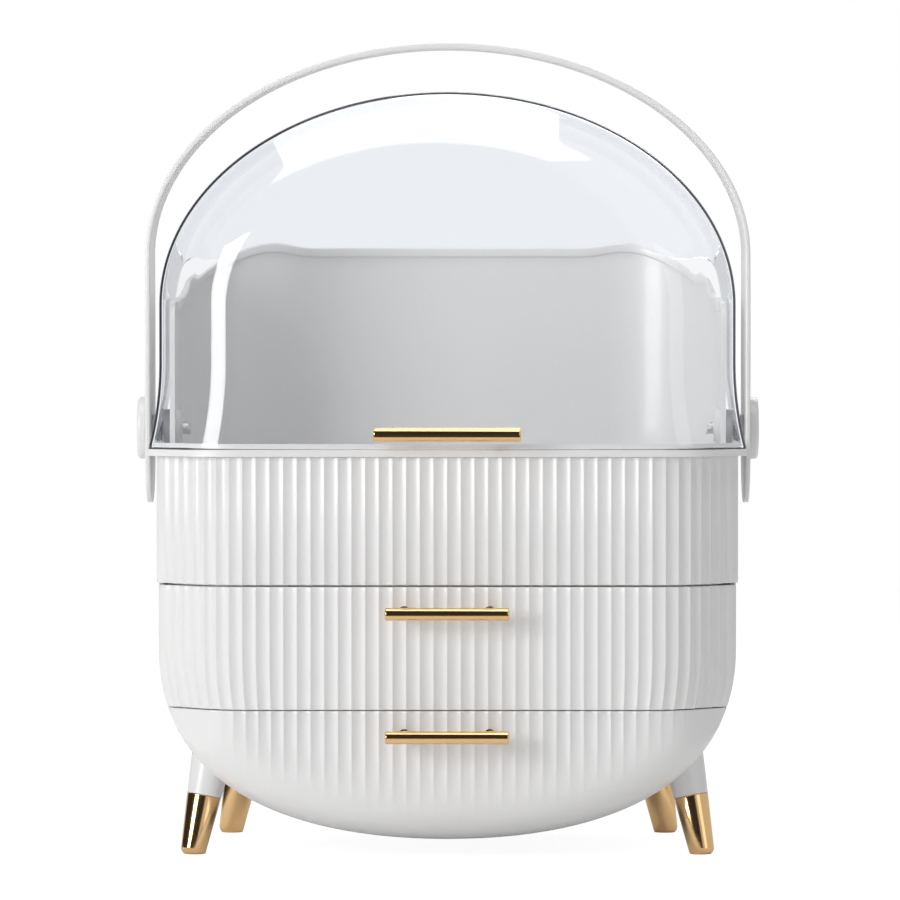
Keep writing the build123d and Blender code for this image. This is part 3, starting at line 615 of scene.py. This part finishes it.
# Clear hood


def hood_arch(part, inset):
    """Front view of the hood's right half, from the crown (part 0) to the foot (part 1).

    A quarter ellipse down to the spring line, an upright, then an arc that flares to the foot.
    """
    out = HOOD_HALF - HOOD_SIDE
    height = HOOD_FLARE_Z - HOOD_FOOT_Z
    radius = (height**2 + out**2) / (2 * out)
    crown = HOOD_TOP_Z - HOOD_ARCH_Z
    arch_part = np.clip(part / ARCH_END, 0, 1)
    side_part = np.clip((part - ARCH_END) / (UPRIGHT_END - ARCH_END), 0, 1)
    flare_part = np.clip((part - UPRIGHT_END) / (1 - UPRIGHT_END), 0, 1)
    angle = arch_part * pi / 2
    x_arch = (HOOD_SIDE - inset) * np.sin(angle)
    z_arch = HOOD_ARCH_Z + (crown - inset) * np.cos(angle)
    turn = flare_part * np.arcsin(height / (radius + inset))
    x_flare = HOOD_SIDE + radius - (radius + inset) * np.cos(turn)
    z_flare = HOOD_FLARE_Z - (radius + inset) * np.sin(turn)
    z_side = HOOD_ARCH_Z + (HOOD_FLARE_Z - HOOD_ARCH_Z) * side_part
    x = np.where(part <= ARCH_END, x_arch, x_flare)
    z = np.where(part <= ARCH_END, z_arch, np.where(part <= UPRIGHT_END, z_side, z_flare))
    return x, z


def hood_back_limit(z):
    """How far back the hood's side goes at a height: the slanted cut over the pivots."""
    curve = bend(*CUT_CURVE, np.linspace(0, 1, 8)[:, None])
    behind, heights = np.concatenate([CUT_STRAIGHTS, curve]).T * MM
    return np.interp(z, heights, behind + PIVOT[1])


def rear_turn(part):
    """How far the rear rounding turns at each column before it meets the slanted cut."""
    turn = np.linspace(0, pi / 2, 721)
    y = HOOD_BACK_Y - HOOD_REAR_ROUNDING * (1 - np.sin(turn))
    z = hood_arch(part[:, None], HOOD_REAR_ROUNDING * (1 - np.cos(turn)))[1]
    inside = np.cumprod(y <= hood_back_limit(z) + 0.002 * MM, axis=1)
    return turn[np.clip(inside.sum(axis=1) - 1, 0, None)]


def panel_rise(share):
    """Share of a flat panel's height at a share of its width: rows closer together at the rim."""
    return PANEL_LOW_SHARE + (1 - PANEL_LOW_SHARE) * share


def hood_grids():
    """Outer surface of the hood, columns round the arch by rows to the back, and its rear panel.

    The rows are the flat front, the plan path's corner carried round the arch, the side with its
    slanted cut, and the rear rounding of radius R: inset R (1 - cos a), y = back - R (1 - sin a).
    The rear panel is each column's last point drawn to the middle, x by its share of the width.
    """
    arch = np.linspace(0, ARCH_END, 72)[:-1]
    upright = np.linspace(ARCH_END, UPRIGHT_END, 10)[:-1]
    part = np.concatenate([arch, upright, np.linspace(UPRIGHT_END, 1, 22)])
    edge_rise = HOOD_REAR_EDGE_Z - HOOD_ARCH_Z
    crown = HOOD_TOP_Z - HOOD_ARCH_Z - np.array([0.0, HOOD_REAR_ROUNDING])
    edge_part = ARCH_END * np.arccos(edge_rise / crown) / (pi / 2)
    part = np.sort(np.concatenate([part, edge_part, np.linspace(edge_part[1], edge_part[0], 6)[1:-1]]))
    rows = []
    x_panel, z_panel = hood_arch(part, CORNER_INSET)
    for share in np.linspace(0, 1, 14)[:-1]:
        z = HOOD_FOOT_Z + (z_panel - HOOD_FOOT_Z) * panel_rise(share)
        rows.append(stack(x_panel * share, FRONT_Y, z))
    end = path_end(BODY_HALF)
    flat = BODY_HALF - CORNER_INSET
    for distance in np.linspace(flat, end - HOOD_CORNER_EASE, 26):
        x_path, y_path = plan_path(distance, 0.0, BODY_HALF)[:2]
        x, z = hood_arch(part, BODY_HALF - x_path)
        rows.append(stack(x, y_path, z))
    corner_inset = BODY_HALF - x_path
    corner_y = y_path + corner_inset * tan(CORNER_TURN)
    for t in np.linspace(0, 1, 6)[1:]:
        y = bend(y_path, corner_y, corner_y + HOOD_CORNER_EASE, t)
        x, z = hood_arch(part, bend(corner_inset, 0, 0, t))
        rows.append(stack(x, y, z))
    x, z = hood_arch(part, 0.0)
    limit = np.minimum(hood_back_limit(z), HOOD_BACK_Y - HOOD_REAR_ROUNDING)
    for share in np.linspace(0, 1, 16)[1:]:
        rows.append(stack(x, y + (limit - y) * share, z))
    turn_end = rear_turn(part)
    for share in np.linspace(0, 1, 10)[1:]:
        turn = turn_end * share
        x, z = hood_arch(part, HOOD_REAR_ROUNDING * (1 - np.cos(turn)))
        y = HOOD_BACK_Y - HOOD_REAR_ROUNDING * (1 - np.sin(turn))
        rows.append(stack(x, np.where(turn_end > 0, y, limit), z))
    back = rows[-1][turn_end > pi / 2 - 1e-6]
    rise = np.clip(back[:, 2] - HOOD_REAR_EDGE_Z, 0, None)
    panel = [back]
    for share in np.linspace(1, 0, 14)[1:]:
        z = HOOD_REAR_EDGE_Z + rise * panel_rise(share)
        panel.append(stack(back[:, 0] * share, HOOD_BACK_Y, z))
    return mirrored(np.stack(rows, axis=1)), mirrored(np.stack(panel, axis=1))


class OBJECT_OT_organizer_hood(bpy.types.Operator):
    """Make the clear hood with its walls and pivot pads"""

    bl_idname = "object.organizer_hood"
    bl_label = "Clear hood"

    def execute(self, context):
        grids = [(grid, False, False) for grid in hood_grids()]
        piece = make_piece("clear_hood", grids, "hood", "clear", 50)
        wall = piece.modifiers.new("wall", "SOLIDIFY")
        wall.thickness = HOOD_WALL
        wall.offset = -1
        wall.use_even_offset = False
        piece.visible_shadow = False
        piece.visible_diffuse = False
        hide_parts("hood")
        pads = [(pad_grid(side), True, False) for side in (1, -1)]
        pad = make_piece("hood_pads", pads, "hood", "clear")
        pad.visible_shadow = False
        return {"FINISHED"}


def pad_grid(side):
    """Round pad inside the hood's foot: a washer profile turned about the pivot axis."""
    outer = HOOD_HALF - HOOD_WALL - PAD_GAP
    face = PAD_RADIUS - PAD_EDGE
    profile = [(PAD_INNER, PAD_HOLE), (PAD_INNER, face), (PAD_INNER + PAD_EDGE, PAD_RADIUS)]
    profile += [(outer - PAD_EDGE, PAD_RADIUS), (outer, face), (outer, PAD_HOLE)]
    return turned_at_pivot(profile, side, 64)


# Turned pieces


def turned(profile, origin, axis, count):
    """Profile of (distance, radius) turned about an axis through an origin.

    With u and v square to the axis a, a point is origin + distance a + radius (u cos t + v sin t).
    """
    axis = np.array(Vector(axis).normalized())
    side = np.cross(axis, [0.0, 1.0, 0.0])
    side = side / np.linalg.norm(side)
    other = np.cross(axis, side)
    shape = np.array(profile)
    angle = np.linspace(0, 2 * pi, count, endpoint=False)[:, None, None]
    spread = side * np.cos(angle) + other * np.sin(angle)
    return np.array(origin) + shape[None, :, :1] * axis + shape[None, :, 1:] * spread


def turned_at_pivot(profile, side, count):
    """Profile turned about the pivot axis, on the side +1 or -1."""
    return turned(profile, (0, PIVOT[1], PIVOT[2]), (side, 0, 0), count)


def first_edge(start, radius, ease, count=6):
    """Quarter circle that leads a profile from its first face, at start, up to its radius."""
    turn = np.linspace(0, pi / 2, count)
    return [(start + ease * (1 - cos(a)), radius - ease * (1 - sin(a))) for a in turn]


def last_edge(end, radius, ease, count=6):
    """Quarter circle that leads a profile from its radius down to its last face, at end."""
    turn = np.linspace(0, pi / 2, count)
    return [(end - ease * (1 - sin(a)), radius - ease * (1 - cos(a))) for a in turn]


def rounded_profile(start, end, radius, ease_start, ease_end):
    """Profile of a round bar with eased ends, closed on the axis."""
    edges = first_edge(start, radius, ease_start) + last_edge(end, radius, ease_end)
    return [(start, 0.0)] + edges + [(end, 0.0)]


class OBJECT_OT_organizer_knobs(bpy.types.Operator):
    """Make the two round knobs on the pivots"""

    bl_idname = "object.organizer_knobs"
    bl_label = "Pivot knobs"

    def execute(self, context):
        inner = STRAP_HALF + KNOB_GAP
        groove = KNOB_HALF - KNOB_GROOVE
        groove_outer, groove_inner, face = KNOB_GROOVE_RADII
        profile = [(inner, 0.0)] + first_edge(inner, KNOB_RADIUS, KNOB_BACK_EDGE, 2)
        profile += last_edge(KNOB_HALF, KNOB_RADIUS, KNOB_EDGE, 7)
        profile += [(groove, groove_outer), (groove, groove_inner), (KNOB_HALF, face), (KNOB_HALF, 0.0)]
        shaft = rounded_profile(SHAFT_INNER, inner + SHAFT_OVERLAP, SHAFT_RADIUS, *SHAFT_EDGES)
        for node, side in (("right_knob", 1), ("left_knob", -1)):
            grids = [
                (turned_at_pivot(profile, side, 96), True, False),
                (turned_at_pivot(shaft, side, 48), True, False),
            ]
            piece = make_piece(node + "_cap", grids, "body", "white")
            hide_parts(node)
        return {"FINISHED"}


# Strap handle


def strap_half_at(z):
    """Half width of the strap in the side view: a half circle, a parallel part, a taper."""
    round_z = STRAP_LOW_Z + STRAP_PADDLE
    below = np.sqrt(np.clip(STRAP_PADDLE**2 - (round_z - z) ** 2, 0, None))
    rise = np.clip((z - STRAP_TAPER_Z) / (STRAP_TOP_Z - STRAP_TAPER_Z), 0, 1)
    above = STRAP_PADDLE - (STRAP_PADDLE - STRAP_CROWN_HALF) * rise**STRAP_TAPER_POWER
    return np.where(z < round_z, below, above)


def strap_grid(edge):
    """Closed tube of the strap: a rounded rectangle carried over two legs and a half ellipse."""
    turn = np.linspace(0, pi / 2, 60)
    paddle = np.linspace(0, pi / 2, 28)[1:]
    leg_z = np.concatenate(
        [
            np.linspace(STRAP_ARCH_Z, STRAP_TAPER_Z, 14)[1:],
            np.linspace(STRAP_TAPER_Z, STRAP_LOW_Z + STRAP_PADDLE, 12)[1:],
            STRAP_LOW_Z + STRAP_PADDLE * (1 - np.sin(paddle)),
        ]
    )
    inner_half = STRAP_HALF - STRAP_SIDE
    rise = STRAP_TOP_Z - STRAP_ARCH_Z
    outer_x = np.concatenate([STRAP_HALF * np.sin(turn), np.full(leg_z.shape, STRAP_HALF)])
    outer_z = np.concatenate([STRAP_ARCH_Z + rise * np.cos(turn), leg_z])
    inner_x = np.concatenate([inner_half * np.sin(turn), np.full(leg_z.shape, inner_half)])
    inner_z = np.concatenate([STRAP_ARCH_Z + (rise - STRAP_TOP) * np.cos(turn), leg_z])
    half = strap_half_at(outer_z)
    thick = np.hypot(outer_x - inner_x, outer_z - inner_z)
    ease = np.minimum(edge, half)[:, None]
    corner = np.linspace(0, pi / 2, 5)
    signs = [(1, 1), (1, -1), (-1, -1), (-1, 1)]
    loops = []
    for number, (sign_u, sign_v) in enumerate(signs):
        angle = corner if number % 2 == 0 else corner[::-1]
        u = (thick[:, None] / 2 - ease) + ease * np.sin(angle)[None, :]
        v = (half[:, None] - ease) + ease * np.cos(angle)[None, :]
        loops.append((sign_u * u, sign_v * v))
    across = np.concatenate([u for u, v in loops], axis=1) / thick[:, None] + 0.5
    width = np.concatenate([v for u, v in loops], axis=1)
    x = inner_x[:, None] + (outer_x - inner_x)[:, None] * across
    z = inner_z[:, None] + (outer_z - inner_z)[:, None] * across
    whole = mirrored(stack(x, PIVOT[1] + width, z))
    first, last = (np.broadcast_to(end.mean(axis=0), end.shape)[None] for end in (whole[0], whole[-1]))
    return np.concatenate([first, whole, last])


class OBJECT_OT_organizer_strap(bpy.types.Operator):
    """Make the strap handle with eased edges"""

    bl_idname = "object.organizer_strap"
    bl_label = "Strap handle"

    def execute(self, context):
        grid = strap_grid(context.scene.organizer_sizes.strap_edge)
        piece = make_piece("strap", [(grid, False, True)], "handle", "white", 60)
        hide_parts("handle")
        return {"FINISHED"}


# Gold bars and caps


def bar_grids(node, bar_radius):
    """Bar along X with eased ends, and two posts that widen where they meet the front."""
    low = node_low(node)
    high = node_high(node)
    length = high[0] - low[0]
    y = low[1] + bar_radius
    z = (low[2] + high[2]) / 2
    bar = rounded_profile(-length / 2, length / 2, bar_radius, BAR_EDGE, BAR_EDGE)
    grids = [(turned(bar, (0, y, z), (1, 0, 0), 64), True, False)]
    reach = FRONT_Y - y
    post = [(0.0, 0.0), (0.0, POST_RADIUS)]
    post += [(reach - before, POST_RADIUS + gain) for before, gain in POST_FLARE]
    post.append((post[-1][0], 0.0))
    for side in (-1, 1):
        origin = (side * (length / 2 - POST_INSET), y, z)
        grids.append((turned(post, origin, (0, 1, 0.0001), 40), True, False))
    return grids


class OBJECT_OT_organizer_bars(bpy.types.Operator):
    """Make the three gold pull bars with their posts"""

    bl_idname = "object.organizer_bars"
    bl_label = "Pull bars"

    def execute(self, context):
        for node, body, radius in (
            ("hood_bar", "hood", HOOD_BAR_RADIUS),
            ("upper_drawer_bar", "upper_drawer", DRAWER_BAR_RADIUS),
            ("lower_drawer_bar", "lower_drawer", DRAWER_BAR_RADIUS),
        ):
            piece = make_piece(node + "_rod", bar_grids(node, radius), body, "gold")
            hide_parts(node)
        return {"FINISHED"}


def cap_grid(x, y):
    """Leg cap: a slender cone turned about the slanted leg, cut flat at the floor."""
    axis = (-np.sign(x) * CAP_LEAN_X, -np.sign(y) * CAP_LEAN_Y, 1)
    profile = [(CAP_LIFT, 0.0)] + first_edge(CAP_LIFT, CAP_FOOT_RADIUS, CAP_FOOT_EDGE, 10)
    profile += last_edge(CAP_LENGTH, CAP_TOP_RADIUS, CAP_TOP_EDGE, 4)
    depth = CAP_LENGTH - CAP_MOUTH_DEPTH
    inner = CAP_MOUTH_RADIUS - CAP_MOUTH_TAPER
    profile += [(CAP_LENGTH, CAP_MOUTH_RADIUS), (depth, inner), (depth, 0.0)]
    grid = turned(profile, (x, y + PIVOT[1], 0.0), axis, 72)
    grid[..., 2] = np.maximum(grid[..., 2], 0.0)
    return grid


class OBJECT_OT_organizer_leg_caps(bpy.types.Operator):
    """Make the gold caps of the four legs"""

    bl_idname = "object.organizer_leg_caps"
    bl_label = "Leg caps"

    def execute(self, context):
        for end, (x, y) in CAP_PLACES.items():
            for side, place in (("left", -x), ("right", x)):
                node = f"{end}_{side}_leg_cap"
                grids = [(cap_grid(place, y), True, False)]
                piece = make_piece(node + "_sleeve", grids, "body", "gold")
                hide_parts(node)
        return {"FINISHED"}


# Lip along the fence


def fence_line(x):
    """Height of the fence's top at places x >= 0: level, a low crown, then a fall to the side."""
    return FENCE_CROWN_Z + np.interp(x / MM, FENCE_PLACES, FENCE_RISES) * MM


def wing_line(y):
    """Height of the wings' top at a place y: nearly level, then one S curve up to the crown."""
    t = np.linspace(0, 1, 60)
    curve_y = PIVOT[1] + WING_CURVE_START + WING_CURVE_LENGTH * cubic(0, 1, 0, 1, t)
    curve_z = FENCE_CROWN_Z - WING_CURVE_DROP + WING_CURVE_RISE * cubic(0, 0, 1, 1, t)
    return np.interp(y, np.append(WING_FRONT_Y, curve_y), np.append(FENCE_CROWN_Z - WING_DROP, curve_z))


def lip_grid(height, reach):
    """Closed rounded band along the fence's inner face, from one wing to the other.

    The plan is a straight, a quarter circle x = c + r sin a, y = d + r cos a, and a straight. The
    section is a rounded rectangle in the plane of the inward normal and the vertical.
    """
    turn = np.linspace(0, pi / 2, 44)
    centre_x = FENCE_HALF - FENCE_CORNER
    centre_y = SHELL_BACK_Y - FENCE_WALL - FENCE_CORNER
    flat_x = np.linspace(0, centre_x, 40)[:-1]
    side_y = np.linspace(centre_y, WING_FRONT_Y, 24)[1:]
    side_x = np.full(side_y.shape, FENCE_HALF)
    x = np.concatenate([flat_x, centre_x + FENCE_CORNER * np.sin(turn), side_x])
    flat_y = np.full(flat_x.shape, centre_y + FENCE_CORNER)
    y = np.concatenate([flat_y, centre_y + FENCE_CORNER * np.cos(turn), side_y])
    angle = np.concatenate([np.zeros(flat_x.shape), turn, np.full(side_y.shape, pi / 2)])[:, None]
    top = np.minimum(fence_line(x), wing_line(y))[:, None] - LIP_STEP
    arc = np.linspace(0, pi / 2, 5)
    low = reach - LIP_EDGE
    rises = (LIP_EDGE * np.sin(arc), LIP_EDGE * np.cos(arc))
    out = np.concatenate([[-LIP_ROOT], low + rises[0], low + rises[1], [-LIP_ROOT]])
    drop = np.concatenate([[0], LIP_EDGE - rises[1], height - LIP_EDGE + rises[0], [height]])
    grid = stack(x[:, None] - out * np.sin(angle), y[:, None] - out * np.cos(angle), top - drop)
    return with_caps(mirrored(grid))


class OBJECT_OT_organizer_fence_lip(bpy.types.Operator):
    """Make the lip that runs along the top of the fence"""

    bl_idname = "object.organizer_fence_lip"
    bl_label = "Fence lip"

    def execute(self, context):
        sizes = context.scene.organizer_sizes
        grid = lip_grid(sizes.lip_height, sizes.lip_reach)
        make_piece("fence_lip", [(grid, False, True)], "body", "white", 50)
        return {"FINISHED"}


# Materials


def set_inputs(node, values):
    """The node, its inputs set to values."""
    for label, value in values.items():
        node.inputs[label].default_value = value
    return node


def add_node(tree, kind, values=None, **settings):
    """Shader node of a kind, with its settings and then the values of its inputs."""
    node = tree.nodes.new("ShaderNode" + kind)
    for name, value in settings.items():
        setattr(node, name, value)
    return set_inputs(node, values or {})


def join(tree, *ways):
    """Links given as (node, output, node, input)."""
    for start, output, end, entry in ways:
        tree.links.new(start.outputs[output], end.inputs[entry])


def new_group(name, inputs, outputs):
    """Shader node group with named value or colour sockets."""
    group = bpy.data.node_groups.new(name, "ShaderNodeTree")
    for label, kind, value in inputs:
        socket = group.interface.new_socket(name=label, in_out="INPUT", socket_type=kind)
        socket.default_value = value
    for label, kind in outputs:
        group.interface.new_socket(name=label, in_out="OUTPUT", socket_type=kind)
    return group


def moulded_skin_group():
    """Fine mould grain and slow shade changes, on Object coordinates."""
    number, colour = "NodeSocketFloat", "NodeSocketColor"
    inputs = [
        ("Grain Scale", number, 900),
        ("Shade Scale", number, 14),
        ("Colour", colour, (0.8, 0.8, 0.8, 1)),
        ("Shade", number, 0.03),
        ("Rough Low", number, 0.25),
        ("Rough High", number, 0.35),
    ]
    outputs = [("Colour", colour), ("Roughness", number), ("Height", number)]
    group = new_group("moulded_skin", inputs, outputs)
    given = group.nodes.new("NodeGroupInput")
    result = group.nodes.new("NodeGroupOutput")
    place = add_node(group, "TexCoord")
    grain = add_node(group, "TexNoise", {"Detail": 3})
    shade = add_node(group, "TexNoise", {"Detail": 2})
    amount = add_node(group, "Math", operation="MULTIPLY")
    darker = add_node(group, "Mix", {"B": (0.35, 0.33, 0.30, 1)}, data_type="RGBA")
    rough = add_node(group, "MapRange")
    join(
        group,
        (place, "Object", grain, "Vector"),
        (place, "Object", shade, "Vector"),
        (given, "Grain Scale", grain, "Scale"),
        (given, "Shade Scale", shade, "Scale"),
        (shade, "Fac", amount, 0),
        (given, "Shade", amount, 1),
        (amount, "Value", darker, "Factor"),
        (given, "Colour", darker, "A"),
        (darker, "Result", result, "Colour"),
        (shade, "Fac", rough, "Value"),
        (given, "Rough Low", rough, "To Min"),
        (given, "Rough High", rough, "To Max"),
        (rough, "Result", result, "Roughness"),
        (grain, "Fac", result, "Height"),
    )
    return group


def new_material(name, values):
    """Node tree and Principled shader, with the given values, of a new material."""
    material = bpy.data.materials.new(name)
    material.use_nodes = True
    tree = material.node_tree
    return tree, set_inputs(tree.nodes["Principled BSDF"], values)


def make_skin_material(name, group, finish):
    """Finish with mould grain and slow shade changes from the moulded skin group."""
    colour, bump, skin_values, shader_values = SKINS[name]
    tree, shader = new_material(name, shader_values)
    skin = add_node(tree, "Group", node_tree=group)
    set_inputs(skin, {"Colour": (*getattr(finish, colour), 1), **skin_values})
    relief = add_node(tree, "Bump", {"Strength": bump, "Distance": 0.02 * MM})
    join(
        tree,
        (skin, "Colour", shader, "Base Color"),
        (skin, "Roughness", shader, "Roughness"),
        (skin, "Height", relief, "Height"),
        (relief, "Normal", shader, "Normal"),
    )


def make_clear_acrylic(finish):
    """Clear acrylic with a faint cool tint, smeared here and there.

    Its slight cool glow is painted light over the whole hood: it stands for the light that the hood's
    edges gather.
    """
    values = {
        "Base Color": (*finish.clear_colour, 1),
        "Transmission Weight": 1.0,
        "IOR": 1.49,
        # Painted glow: a faint blue emission that stands in for light gathered by the hood's edges.
        "Emission Color": (0.42, 0.47, 0.62, 1),
        "Emission Strength": 0.014,
    }
    tree, shader = new_material("clear_acrylic", values)
    place = add_node(tree, "TexCoord")
    smear = add_node(tree, "TexNoise", {"Scale": 22})
    rough = add_node(tree, "MapRange", {"From Min": 0.35, "To Min": 0.0, "To Max": 0.03})
    join(
        tree,
        (place, "Object", smear, "Vector"),
        (smear, "Fac", rough, "Value"),
        (rough, "Result", shader, "Roughness"),
    )


class OBJECT_OT_organizer_finishes(bpy.types.Operator):
    """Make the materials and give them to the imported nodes"""

    bl_idname = "object.organizer_finishes"
    bl_label = "Finishes"

    def execute(self, context):
        finish = context.scene.organizer_finish
        group = moulded_skin_group()
        for name in SKINS:
            make_skin_material(name, group, finish)
        make_clear_acrylic(finish)
        slots = {part["node"]: part["material_slot"] for part in frame["record"]["subparts"]}
        for node, piece in frame["nodes"].items():
            material = bpy.data.materials[FINISHES[slots[node]]]
            for slot in piece.material_slots:
                slot.material = material
            if not piece.material_slots:
                piece.data.materials.append(material)
        return {"FINISHED"}


# Studio


def aim(item, place, target):
    """Puts a lamp or camera at a place, turned towards a target."""
    item.location = place
    item.rotation_euler = (Vector(target) - Vector(place)).to_track_quat("-Z", "Y").to_euler()


def add_softbox(name, place, width, height, power):
    """Rectangular lamp at a place, turned towards the middle of the object."""
    lamp = bpy.data.lights.new(name, "AREA")
    lamp.shape = "RECTANGLE"
    lamp.size = width
    lamp.size_y = height
    lamp.energy = power
    aim(add_object(name, lamp), place, LIT_POINT)


def seen_directly(tree):
    """Light Path node, and a node that gives 1 for what the camera sees, also through the hood."""
    path = add_node(tree, "LightPath")
    seen = add_node(tree, "Math", operation="MAXIMUM")
    join(tree, (path, "Is Camera Ray", seen, 0), (path, "Is Transmission Ray", seen, 1))
    return path, seen


def make_world(strength):
    """Even light around, white where the camera or the clear hood sees it.

    What shines sees a bright studio whose front left side is unlit: with d the direction and f the
    middle of the unlit side, the light falls from bright to dark as d . f goes from 0.18 to 0.36.
    """
    world = bpy.data.worlds.new("studio")
    bpy.context.scene.world = world
    world.use_nodes = True
    tree = world.node_tree
    white = (1, 1, 1, 1)
    even = set_inputs(tree.nodes["Background"], {"Color": white, "Strength": strength})
    pure = add_node(tree, "Background", {"Color": white, "Strength": 1})
    room = add_node(tree, "Background", {"Color": white})
    place = add_node(tree, "TexCoord")
    unlit_middle = Vector((-0.9, -0.55, 0.25)).normalized()
    side = add_node(tree, "VectorMath", {1: unlit_middle}, operation="DOT_PRODUCT")
    fall = {"From Min": 0.18, "From Max": 0.36, "To Min": 0.65, "To Max": 0.03}
    unlit = add_node(tree, "MapRange", fall, interpolation_type="SMOOTHSTEP")
    path, seen = seen_directly(tree)
    shine = add_node(tree, "MixShader")
    mix = add_node(tree, "MixShader")
    join(
        tree,
        (place, "Generated", side, 0),
        (side, "Value", unlit, "Value"),
        (unlit, "Result", room, "Strength"),
        (path, "Is Glossy Ray", shine, "Fac"),
        (even, "Background", shine, 1),
        (room, "Background", shine, 2),
        (seen, "Value", mix, "Fac"),
        (shine, "Shader", mix, 1),
        (pure, "Background", mix, 2),
        (mix, "Shader", tree.nodes["World Output"], "Surface"),
    )


def make_floor():
    """Pale floor that shows white to the camera, also through the hood, and keeps the shadow.

    What shines sees a painted dark reflection of it in front: its light falls to a dim glow as y goes
    from -0.30 to -0.38.
    """
    size = 3.0
    points = [(-size, -size, 0), (size, -size, 0), (size, size, 0), (-size, size, 0)]
    mesh = bpy.data.meshes.new("floor")
    mesh.from_pydata(points, [], [(0, 1, 2, 3)])
    floor = add_object("floor", mesh)
    values = {"Base Color": (0.93, 0.93, 0.93, 1), "Roughness": 0.9, "Specular IOR Level": 0.0}
    tree, shader = new_material("floor_white", values)
    glow = add_node(tree, "Emission", {"Strength": 1.165})
    # Painted dark reflection: glossy rays see the floor's front part as this dim glow instead of its lit
    # shading.
    painted_dark_reflection = add_node(tree, "Emission", {"Strength": 0.05})
    place = add_node(tree, "TexCoord")
    split = add_node(tree, "SeparateXYZ")
    fall = {"From Min": -0.30, "From Max": -0.38}
    front = add_node(tree, "MapRange", fall, interpolation_type="SMOOTHSTEP")
    reflected = add_node(tree, "Math", operation="SUBTRACT", use_clamp=True)
    unlit = add_node(tree, "Math", operation="MULTIPLY")
    share = add_node(tree, "Math", {1: 0.8}, operation="MULTIPLY")
    path, seen = seen_directly(tree)
    shine = add_node(tree, "MixShader")
    mix = add_node(tree, "MixShader")
    join(
        tree,
        (place, "Object", split, "Vector"),
        (split, "Y", front, "Value"),
        (path, "Is Glossy Ray", reflected, 0),
        (path, "Is Transmission Ray", reflected, 1),
        (front, "Result", unlit, 0),
        (reflected, "Value", unlit, 1),
        (unlit, "Value", shine, "Fac"),
        (shader, "BSDF", shine, 1),
        (painted_dark_reflection, "Emission", shine, 2),
        (seen, "Value", share, 0),
        (share, "Value", mix, "Fac"),
        (shine, "Shader", mix, 1),
        (glow, "Emission", mix, 2),
        (mix, "Shader", tree.nodes["Material Output"], "Surface"),
    )
    mesh.materials.append(bpy.data.materials["floor_white"])


def make_camera(studio):
    """Long lens level with the hood's foot, aimed so that the photograph's frame is kept."""
    camera = bpy.data.cameras.new("camera")
    camera.lens = studio.lens
    camera.sensor_width = 36
    camera.clip_end = 20
    holder = add_object("camera", camera)
    place = (CAMERA_X, PIVOT[1] - studio.camera_distance, studio.eye_height)
    aim(holder, place, (AIM_X, PIVOT[1], AIM_Z))
    bpy.context.scene.camera = holder


class SCENE_OT_organizer_studio(bpy.types.Operator):
    """Make the floor, the lamps and the camera"""

    bl_idname = "scene.organizer_studio"
    bl_label = "Studio"

    def execute(self, context):
        studio = context.scene.organizer_studio
        context.scene.view_settings.view_transform = "Standard"
        make_camera(studio)
        make_world(studio.ambient)
        make_floor()
        for name, (place, width, height, power) in SOFTBOXES.items():
            add_softbox(name, place, width, height, getattr(studio, power))
        return {"FINISHED"}


class VIEW3D_PT_organizer(bpy.types.Panel):
    """Lists the organizer's operators and values"""

    bl_label = "Organizer"
    bl_idname = "VIEW3D_PT_organizer"
    bl_space_type = "VIEW_3D"
    bl_region_type = "UI"
    bl_category = "Organizer"

    def draw(self, context):
        layout = self.layout
        for step in STEPS:
            layout.operator(step)
        for group in ("organizer_sizes", "organizer_finish", "organizer_studio"):
            values = getattr(context.scene, group)
            box = layout.box()
            for name in values.__annotations__:
                box.prop(values, name)


CLASSES = (
    OrganizerSizes,
    OrganizerFinish,
    OrganizerStudio,
    OBJECT_OT_organizer_finishes,
    SCENE_OT_organizer_studio,
    OBJECT_OT_organizer_fronts,
    OBJECT_OT_organizer_hood,
    OBJECT_OT_organizer_strap,
    OBJECT_OT_organizer_knobs,
    OBJECT_OT_organizer_bars,
    OBJECT_OT_organizer_leg_caps,
    OBJECT_OT_organizer_fence_lip,
    VIEW3D_PT_organizer,
)
STEPS = [item.bl_idname for item in CLASSES if issubclass(item, bpy.types.Operator)]


def register():
    for item in CLASSES:
        bpy.utils.register_class(item)
    bpy.types.Scene.organizer_sizes = PointerProperty(type=OrganizerSizes)
    bpy.types.Scene.organizer_finish = PointerProperty(type=OrganizerFinish)
    bpy.types.Scene.organizer_studio = PointerProperty(type=OrganizerStudio)


def unregister():
    del bpy.types.Scene.organizer_studio
    del bpy.types.Scene.organizer_finish
    del bpy.types.Scene.organizer_sizes
    for item in reversed(CLASSES):
        bpy.utils.unregister_class(item)


def main():
    register()
    for step in STEPS:
        area, name = step.split(".")
        getattr(getattr(bpy.ops, area), name)()


if __name__ == "__main__":
    main()
